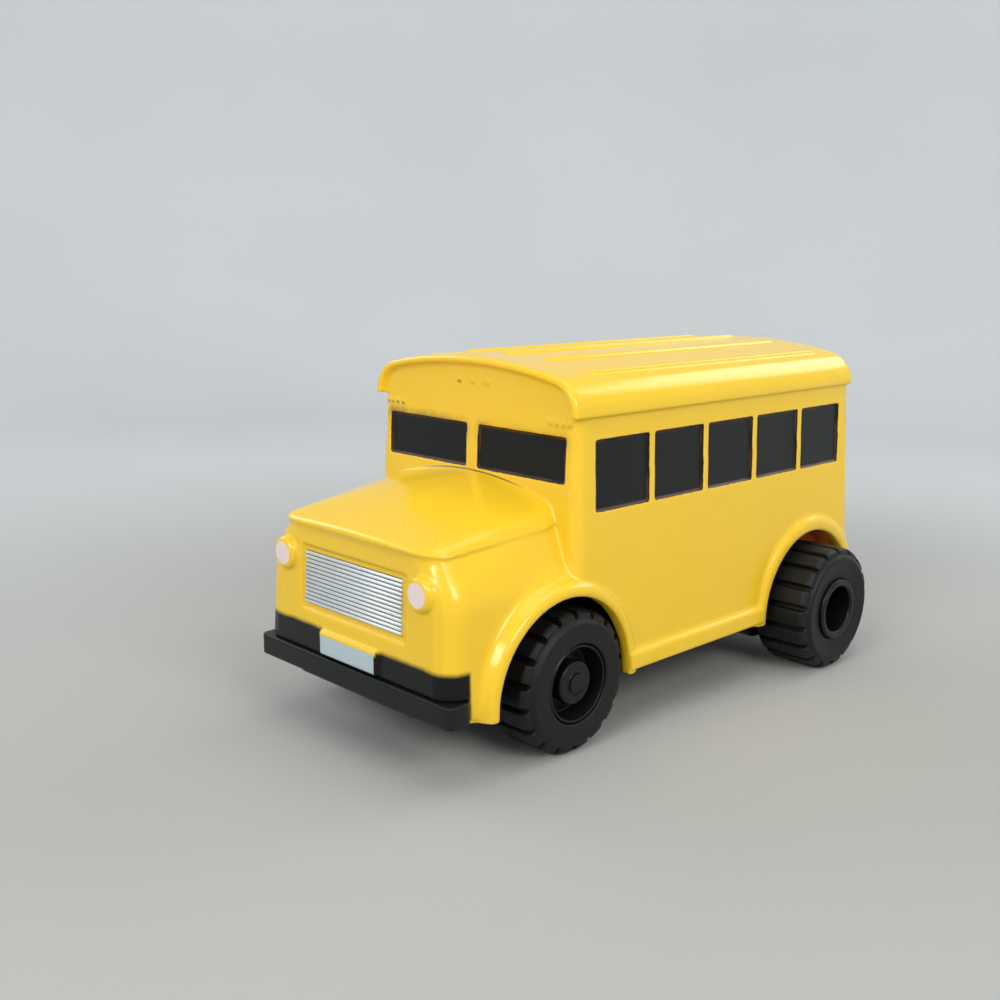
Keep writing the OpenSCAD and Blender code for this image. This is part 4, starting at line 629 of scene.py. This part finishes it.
# %% Black plastics
def black_plastic(name, dark, light, rough, grain_mm, grain):
    """A dark moulded plastic with an even fine grain and slightly uneven gloss."""
    material, tree, shader, mm = new_material(name)
    cloud, shade = mottled(tree, mm, 5, 4.0, dark, light)
    worn = add(tree, "MapRange", {"Value": cloud, "To Min": rough - 0.06, "To Max": rough + 0.06})
    spark = add(tree, "TexNoise", {"Vector": mm, "Scale": 1 / grain_mm, "Detail": 3.0})
    bump = add(tree, "Bump", {"Height": spark.outputs["Fac"], "Strength": grain,
                              "Distance": 0.06 * MM})
    plug(tree, shader, {"Base Color": shade, "Roughness": worn.outputs["Result"],
                        "Normal": bump.outputs["Normal"], "Specular IOR Level": 0.3})
    return material


satin_black = black_plastic("satin_black_abs", "0f1112", "15181a", 0.42, 0.35, 0.25)
tyre_black = black_plastic("matt_black_tyre", "0e0f10", "161819", 0.5, 0.45, 0.35)
hub_black = black_plastic("glossy_black_hub", "0b0c0d", "121415", 0.34, 0.5, 0.15)
print("black plastics", [m.name for m in (satin_black, tyre_black, hub_black)])

# %% [markdown]
# ## Chassis and wheels
# The tyres get a finer skin than the chassis, so that their lugs stay crisp, and the small rims,
# hubs and pins a finer one still.

# %% Chassis and wheels
chassis = moulded("chassis_base", "chassis", 0.2, 3, 0.12)
chassis.data.materials.append(satin_black)
for end in ("front", "rear"):
    for hand in ("left", "right"):
        tyre = moulded(f"{end}_tyre_{hand}", f"{end}_tread_{hand}", 0.14, 4, 0.25)
        tyre.data.materials.append(tyre_black)
pins = {}
for hand in ("left", "right"):
    for node, name in (("front_rim", "rim"), ("rear_hub", "hub"), ("front_axle_pin", "axle_pin")):
        part = moulded(f"{node}_{hand}", f"{name}_{hand}", 0.1, 3, 0.3)
        part.data.materials.append(hub_black)
        if name == "axle_pin":
            pins[hand] = part
print("axle pins", [pin.name for pin in pins.values()])

# %% [markdown]
# ## Mould marks on the axle pins
# The end of each front axle pin shows the open ring that the mould's gate leaves. A line of bump
# would vanish from the side, so we cut a real groove: a bent bar with a square section, taken away
# with a Boolean.

# %% Gate marks
MARK_IN, MARK_OUT, MARK_DEEP, MARK_STEPS = 1.3, 1.55, 0.22, 40
MARK_START, MARK_END = math.radians(70), math.radians(310)
MARK_SECTION = ((MARK_IN, -MARK_DEEP), (MARK_OUT, -MARK_DEEP), (MARK_OUT, MARK_DEEP),
                (MARK_IN, MARK_DEEP))


def carved(piece, tool, own_overlaps=False):
    """Cuts a tool's shape out of a piece, then removes the tool."""
    cut = piece.modifiers.new("cut", "BOOLEAN")
    cut.object = tool
    cut.solver = "EXACT"
    cut.use_self = own_overlaps
    applied(piece)
    mesh = tool.data
    bpy.data.objects.remove(tool)
    bpy.data.meshes.remove(mesh)


def bent_bar(face, out, y, z):
    """An open ring round the X axis, half sunk in a face that looks out along X."""
    bm = bmesh.new()
    rings = []
    for k in range(MARK_STEPS + 1):
        a = MARK_START + (MARK_END - MARK_START) * k / MARK_STEPS
        rings.append([bm.verts.new((face + out * depth * MM, y + out * r * math.cos(a) * MM,
                                    z + r * math.sin(a) * MM)) for r, depth in MARK_SECTION])
    for one, two in zip(rings, rings[1:]):
        for k in range(4):
            bm.faces.new((one[k], two[k], two[(k + 1) % 4], one[(k + 1) % 4]))
    bm.faces.new(rings[0])
    bm.faces.new(reversed(rings[-1]))
    bmesh.ops.recalc_face_normals(bm, faces=bm.faces)
    return placed("gate_mark", meshed(bm, "gate_mark"))


for hand, out in (("left", 1), ("right", -1)):
    low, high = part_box(f"front_axle_pin_{hand}")
    face = high.x if out > 0 else low.x
    carved(pins[hand], bent_bar(face, out, (low.y + high.y) / 2, (low.z + high.z) / 2))
    print("gate mark", hand, len(pins[hand].data.polygons), "faces")

# %% [markdown]
# ## Foil grille
# The grille's bars are part of the yellow moulding, and a silver foil is stamped hot onto them.
# The bars are half a millimetre apart, too fine for the skin of the body, so the foil is a piece
# of its own: one half-round strip for each bar on a thin dark grey backing, which paints the shade
# in the grooves as dark lines. The strips' ends are a little uneven, as stamped foil tears.

# %% Grille
GRILLE_BARS, GRILLE_HALF, GRILLE_Z, GRILLE_H = 13, 10.25, 18.4, 7.3
NOSE_LEAN, NOSE_MIDDLE_Z, SUNK = math.radians(2.25), 22, 0.5
BAR_PITCH = GRILLE_H / GRILLE_BARS
BAR_HALF, BAR_DEEP, BAR_ROUND_STEPS, BAR_ROOT = 0.215, 0.17, 6, 0.03
BACK_IN, BACK_OUT, BACK_SHORT, BACK_BEVEL = 0.02, 0.3, 0.05, 0.02

bm = bmesh.new()


def strip(x0, x1, outline):
    """A closed bar along X with an outline of (depth, height) points. Gives its long faces."""
    ends = [[bm.verts.new((end, -depth, height)) for depth, height in outline]
            for end in (x0, x1)]
    bm.faces.new(ends[0])
    bm.faces.new(reversed(ends[1]))
    following = [(i, (i + 1) % len(outline)) for i in range(len(outline))]
    return [bm.faces.new((ends[0][i], ends[1][i], ends[1][j], ends[0][j])) for i, j in following]


backing = [(BACK_IN, 0.0), (BACK_OUT, BACK_BEVEL), (BACK_OUT, GRILLE_H - BACK_BEVEL),
           (BACK_IN, GRILLE_H)]
for face in strip(-GRILLE_HALF + BACK_SHORT, GRILLE_HALF - BACK_SHORT, backing):
    face.material_index = 1
for i in range(GRILLE_BARS):
    middle = BAR_PITCH * (i + 0.5)
    curve = [math.pi * k / BAR_ROUND_STEPS for k in range(BAR_ROUND_STEPS + 1)]
    outline = [(BACK_OUT - BAR_ROOT, middle - BAR_HALF)]
    outline += [(BACK_OUT + BAR_DEEP * math.sin(a), middle - BAR_HALF * math.cos(a))
                for a in curve]
    outline.append((BACK_OUT - BAR_ROOT, middle + BAR_HALF))
    torn = 0.09 * math.sin(5.1 * i), 0.07 * math.sin(3.7 * i + 1)
    for face in strip(-GRILLE_HALF + torn[0], GRILLE_HALF + torn[1], outline):
        face.smooth = True
bmesh.ops.recalc_face_normals(bm, faces=bm.faces)
floor_y = NOSE_Y - (NOSE_MIDDLE_Z - GRILLE_Z) * math.tan(NOSE_LEAN) + SUNK
bm.transform(Matrix.Scale(MM, 4) @ Matrix.Translation((0, floor_y, GRILLE_Z))
             @ Matrix.Rotation(-NOSE_LEAN, 4, "X"))
grille = placed("grille_foil", meshed(bm, "grille_foil"))
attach(grille, "chassis")
print("grille", GRILLE_BARS, "bars", len(grille.data.polygons), "faces")

# %% [markdown]
# ## Foil finish
# Stamped aluminium foil mirrors the room, but it takes on the fine unevenness of the plastic under
# it. A metallic shader with a cool bright colour gives the mirror, and a fine noise varies its
# gloss. The backing is a dull dark grey that paints the shade in the grooves between the bars.

# %% Foil
foil, tree, shader, mm = new_material("stamped_aluminium_foil")
crumple, tone = mottled(tree, mm, 0.5, 3.0, "e3eaee", "f8fafb")
gloss = add(tree, "MapRange", {"Value": crumple, "To Min": 0.52, "To Max": 0.7})
dent = add(tree, "Bump", {"Height": crumple, "Strength": 0.2, "Distance": 0.05 * MM})
plug(tree, shader, {"Base Color": tone, "Roughness": gloss.outputs["Result"],
                    "Normal": dent.outputs["Normal"], "Metallic": 1.0})
# Painted shade: the backing's dark grey stands for the shade between the bars.
groove_shade_foil, tree, shader, mm = new_material("painted_shade_foil_groove")
plug(tree, shader, {"Base Color": mottled(tree, mm, 0.8, 2.0, "4e575c", "6a747a")[1],
                    "Roughness": 0.55})
grille.data.materials.append(foil)
grille.data.materials.append(groove_shade_foil)
print("foil materials", [m.name for m in grille.data.materials])

# %% [markdown]
# ## Battery door and motor clamp
# Both are small flat mouldings from the chassis's own black plastic. The door shows underneath, so
# it gets rolled edges too. The clamp is inside, and keeps its CAD shape.

# %% Door and clamp
def finish(material, *nodes):
    """Gives CAD nodes that keep their shape a material."""
    for node in nodes:
        slots = frame["nodes"][node].data.materials
        slots.clear()
        slots.append(material)


def both(*names):
    """The left and right nodes of paired parts."""
    return [f"{name}_{hand}" for name in names for hand in ("left", "right")]


door = moulded("battery_door", "door", 0.12, 3, 0.2)
door.data.materials.append(satin_black)
finish(satin_black, "motor_clamp")
print("door", len(door.data.polygons), "faces")

# %% [markdown]
# ## Metals
# Screws are zinc-plated, cells and contacts nickel-plated, the motor cans are drawn from steel
# sheet and the pinions are turned from brass. All are metallic shaders with the default IOR. What
# tells them apart is the colour and the marks of their making: cloudy plating, lines drawn along
# the can, rings left by the lathe. Fine lines come from a noise that is stretched many times in
# one direction; real ones are a few hundredths of a millimetre, drawn coarser here to show.

# %% Metal finishes
def worked_metal(name, dark, light, rough, stretch, mark_mm, depth):
    """A metal whose marks are stretched along X, Y and Z by the given factors."""
    material, tree, shader, mm = new_material(name)
    drawn = add(tree, "VectorMath", {0: mm, 1: stretch}, operation="DIVIDE").outputs["Vector"]
    mark = add(tree, "TexNoise", {"Vector": drawn, "Scale": 1 / mark_mm, "Detail": 3.0})
    gloss = add(tree, "MapRange", {"Value": mark.outputs["Fac"], "To Min": rough - 0.08,
                                   "To Max": rough + 0.08})
    line = add(tree, "Bump", {"Height": mark.outputs["Fac"], "Strength": depth,
                              "Distance": 0.03 * MM})
    plug(tree, shader, {"Base Color": mottled(tree, mm, 1.8, 2.0, dark, light)[1],
                        "Roughness": gloss.outputs["Result"], "Normal": line.outputs["Normal"],
                        "Metallic": 1.0})
    return material


zinc = worked_metal("zinc_plated_steel", "a9acb2", "c6c5bd", 0.34, (1, 1, 1), 0.3, 0.2)
nickel = worked_metal("nickel_plated_steel", "c3c0b6", "d6d4cc", 0.24, (1, 1, 60), 0.12, 0.15)
can_steel = worked_metal("drawn_steel_can", "b4b6b9", "c9cbce", 0.28, (80, 1, 1), 0.12, 0.2)
brass = worked_metal("turned_brass", "c99a3c", "dcb35a", 0.26, (60, 1, 1), 0.1, 0.2)
finish(zinc, "board_screws", "motor_clamp_screws")
finish(nickel, "button_cells", "battery_contact_plus", "battery_contact_minus",
       *both("idler_pin", "rear_shaft"))
finish(can_steel, *both("motor_can", "motor_shaft"))
finish(brass, *both("motor_pinion"))
print("metals", [m.name for m in (zinc, nickel, can_steel, brass)])

# %% [markdown]
# ## Screw heads
# The body's four screws and the door's one show underneath, deep in their pockets. A screw like
# this has a cross for the driver, pressed into its pan head. The CAD node has the plain head, so we
# copy it, find each screw as a group of joined points, and cut the cross with a Boolean, one pair
# of crossed blocks for each head.

# %% Cross heads
CROSS_LONG, CROSS_WIDE, CROSS_DEEP = 0.62, 0.16, 0.55


def screw_heads(mesh):
    """The place of the lower end of each screw in a mesh, and the radius of its head."""
    bm = bmesh.new()
    bm.from_mesh(mesh)
    bmesh.ops.remove_doubles(bm, verts=bm.verts, dist=1e-7)
    left, heads = set(bm.verts), []
    while left:
        group, edge = set(), {left.pop()}
        while edge:
            vert = edge.pop()
            group.add(vert)
            edge |= {e.other_vert(vert) for e in vert.link_edges} - group
        left -= group
        low = [min(v.co[i] for v in group) for i in range(3)]
        high = [max(v.co[i] for v in group) for i in range(3)]
        middle = (low[0] + high[0]) / 2, (low[1] + high[1]) / 2
        heads.append((*middle, low[2], (high[0] - low[0]) / 2))
    bm.to_mesh(mesh)
    bm.free()
    return heads


def cross_headed(node, name):
    """A copy of a node of screws, each with a cross in the lower end of its head."""
    screws = placed(name, frame["nodes"][node].data.copy())
    heads = screw_heads(screws.data)
    bm = bmesh.new()
    for x, y, z, r in heads:
        for long, wide in ((CROSS_LONG, CROSS_WIDE), (CROSS_WIDE, CROSS_LONG)):
            size = Matrix.Diagonal((2 * long * r, 2 * wide * r, 2 * CROSS_DEEP * MM, 1))
            bmesh.ops.create_cube(bm, size=1, matrix=Matrix.Translation((x, y, z)) @ size)
    carved(screws, placed(name + "_crosses", meshed(bm, name + "_crosses")), own_overlaps=True)
    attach(screws, "chassis")
    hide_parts(node)
    screws.data.materials.clear()
    screws.data.materials.append(zinc)
    print(name, len(heads), "heads", len(screws.data.polygons), "faces")


cross_headed("chassis_screws", "body_screws")
cross_headed("battery_door_screw", "door_screw")

# %% [markdown]
# ## Acetal and epoxy
# The gears, the motors' end caps and the switch knob are natural acetal, a waxy white plastic that
# lets a little light in. The chip and the switch body are black epoxy with a fine stone-like grain,
# so the helper for black plastics serves them too.

# %% Acetal and epoxy
acetal, tree, shader, mm = new_material("natural_acetal")
cloud, tone = mottled(tree, mm, 2.5, 3.0, "e2ded2", "efece3")
gloss = add(tree, "MapRange", {"Value": cloud, "To Min": 0.34, "To Max": 0.46})
plug(tree, shader, {"Base Color": tone, "Roughness": gloss.outputs["Result"], "IOR": 1.48,
                    "Subsurface Weight": 0.3, "Subsurface Scale": 0.6 * MM})
finish(acetal, "switch_knob", *both("motor_end_cap", "idler_gear", "wheel_gear"))
epoxy = black_plastic("moulded_black_epoxy", "17181a", "212224", 0.5, 0.15, 0.4)
finish(epoxy, "control_chip", "switch_body")
print("finished", acetal.name, epoxy.name)

# %% [markdown]
# ## Sensor lenses
# The emitter is cast in clear epoxy and the receiver in a violet-black one that passes only
# infrared. Both have faint swirls from the casting. The clear one lets most light through; the dark
# one looks solid to the eye, so it stays an ordinary glossy surface.

# %% Lenses
EPOXY_IOR = 1.54

clear_lens, tree, shader, mm = new_material("clear_cast_epoxy")
plug(tree, shader, {"Base Color": mottled(tree, mm, 1.2, 2.0, "dfe6ea", "f2f5f6")[1],
                    "Roughness": 0.08, "IOR": EPOXY_IOR, "Transmission Weight": 0.85})
finish(clear_lens, "sensor_emitter")
dark_lens, tree, shader, mm = new_material("infrared_dark_epoxy")
plug(tree, shader, {"Base Color": mottled(tree, mm, 1.2, 2.0, "150d18", "211626")[1],
                    "Roughness": 0.1, "IOR": EPOXY_IOR})
finish(dark_lens, "sensor_receiver")
print("finished", clear_lens.name, dark_lens.name)

# %% [markdown]
# ## Circuit boards
# A board is glass epoxy under green solder mask. Copper tracks 0.4 mm wide stand a few hundredths
# under the mask and show as lighter green lines at right angles, and tinned pads show as small
# bright rounds. Tracks could be modelled one by one, but they have almost no height, so brick
# joints draw them, and cell centres on a grid draw the pads.

# %% Boards
PAD_PITCH = 2.54
TRACKS = {"Scale": 1.0, "Mortar Size": 0.18, "Brick Width": 5.0, "Row Height": 1.6,
          "Color1": srgb("000000"), "Color2": srgb("000000"), "Mortar": srgb("ffffff")}

board, tree, shader, mm = new_material("green_solder_mask")
lift = add(tree, "TexBrick", {"Vector": mm, **TRACKS}).outputs["Fac"]
mask_green = mottled(tree, mm, 4, 3.0, "0e4a26", "135a2f")[1]
track = add(tree, "Mix", {"Factor": lift, "A": mask_green, "B": srgb("2b7a41")}, data_type="RGBA")
grid = add(tree, "TexVoronoi", {"Vector": mm, "Scale": 1 / PAD_PITCH, "Randomness": 0.0})
tin = step(tree, grid.outputs["Distance"], 0.16, 0.12)
colour = add(tree, "Mix", {"Factor": tin, "A": track.outputs["Result"], "B": srgb("c9ccce")},
             data_type="RGBA")
raised = add(tree, "Bump", {"Height": lift, "Strength": 0.3, "Distance": 0.04 * MM})
plug(tree, shader, {"Base Color": colour.outputs["Result"], "Metallic": tin,
                    "Normal": raised.outputs["Normal"], "Roughness": 0.32})
finish(board, "circuit_board", "sensor_board")
unfinished = [name for name, node in frame["nodes"].items()
              if not node.hide_render and not any(m and m.use_nodes for m in node.data.materials)]
print("boards done; nodes without a finish:", unfinished)

# %% [markdown]
# ## Size
# The last cell prints the box of the visible pieces, in millimetres.

# %% Size
low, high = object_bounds()
print("visual box in mm", [round(v / MM, 2) for corner in (low, high) for v in corner])
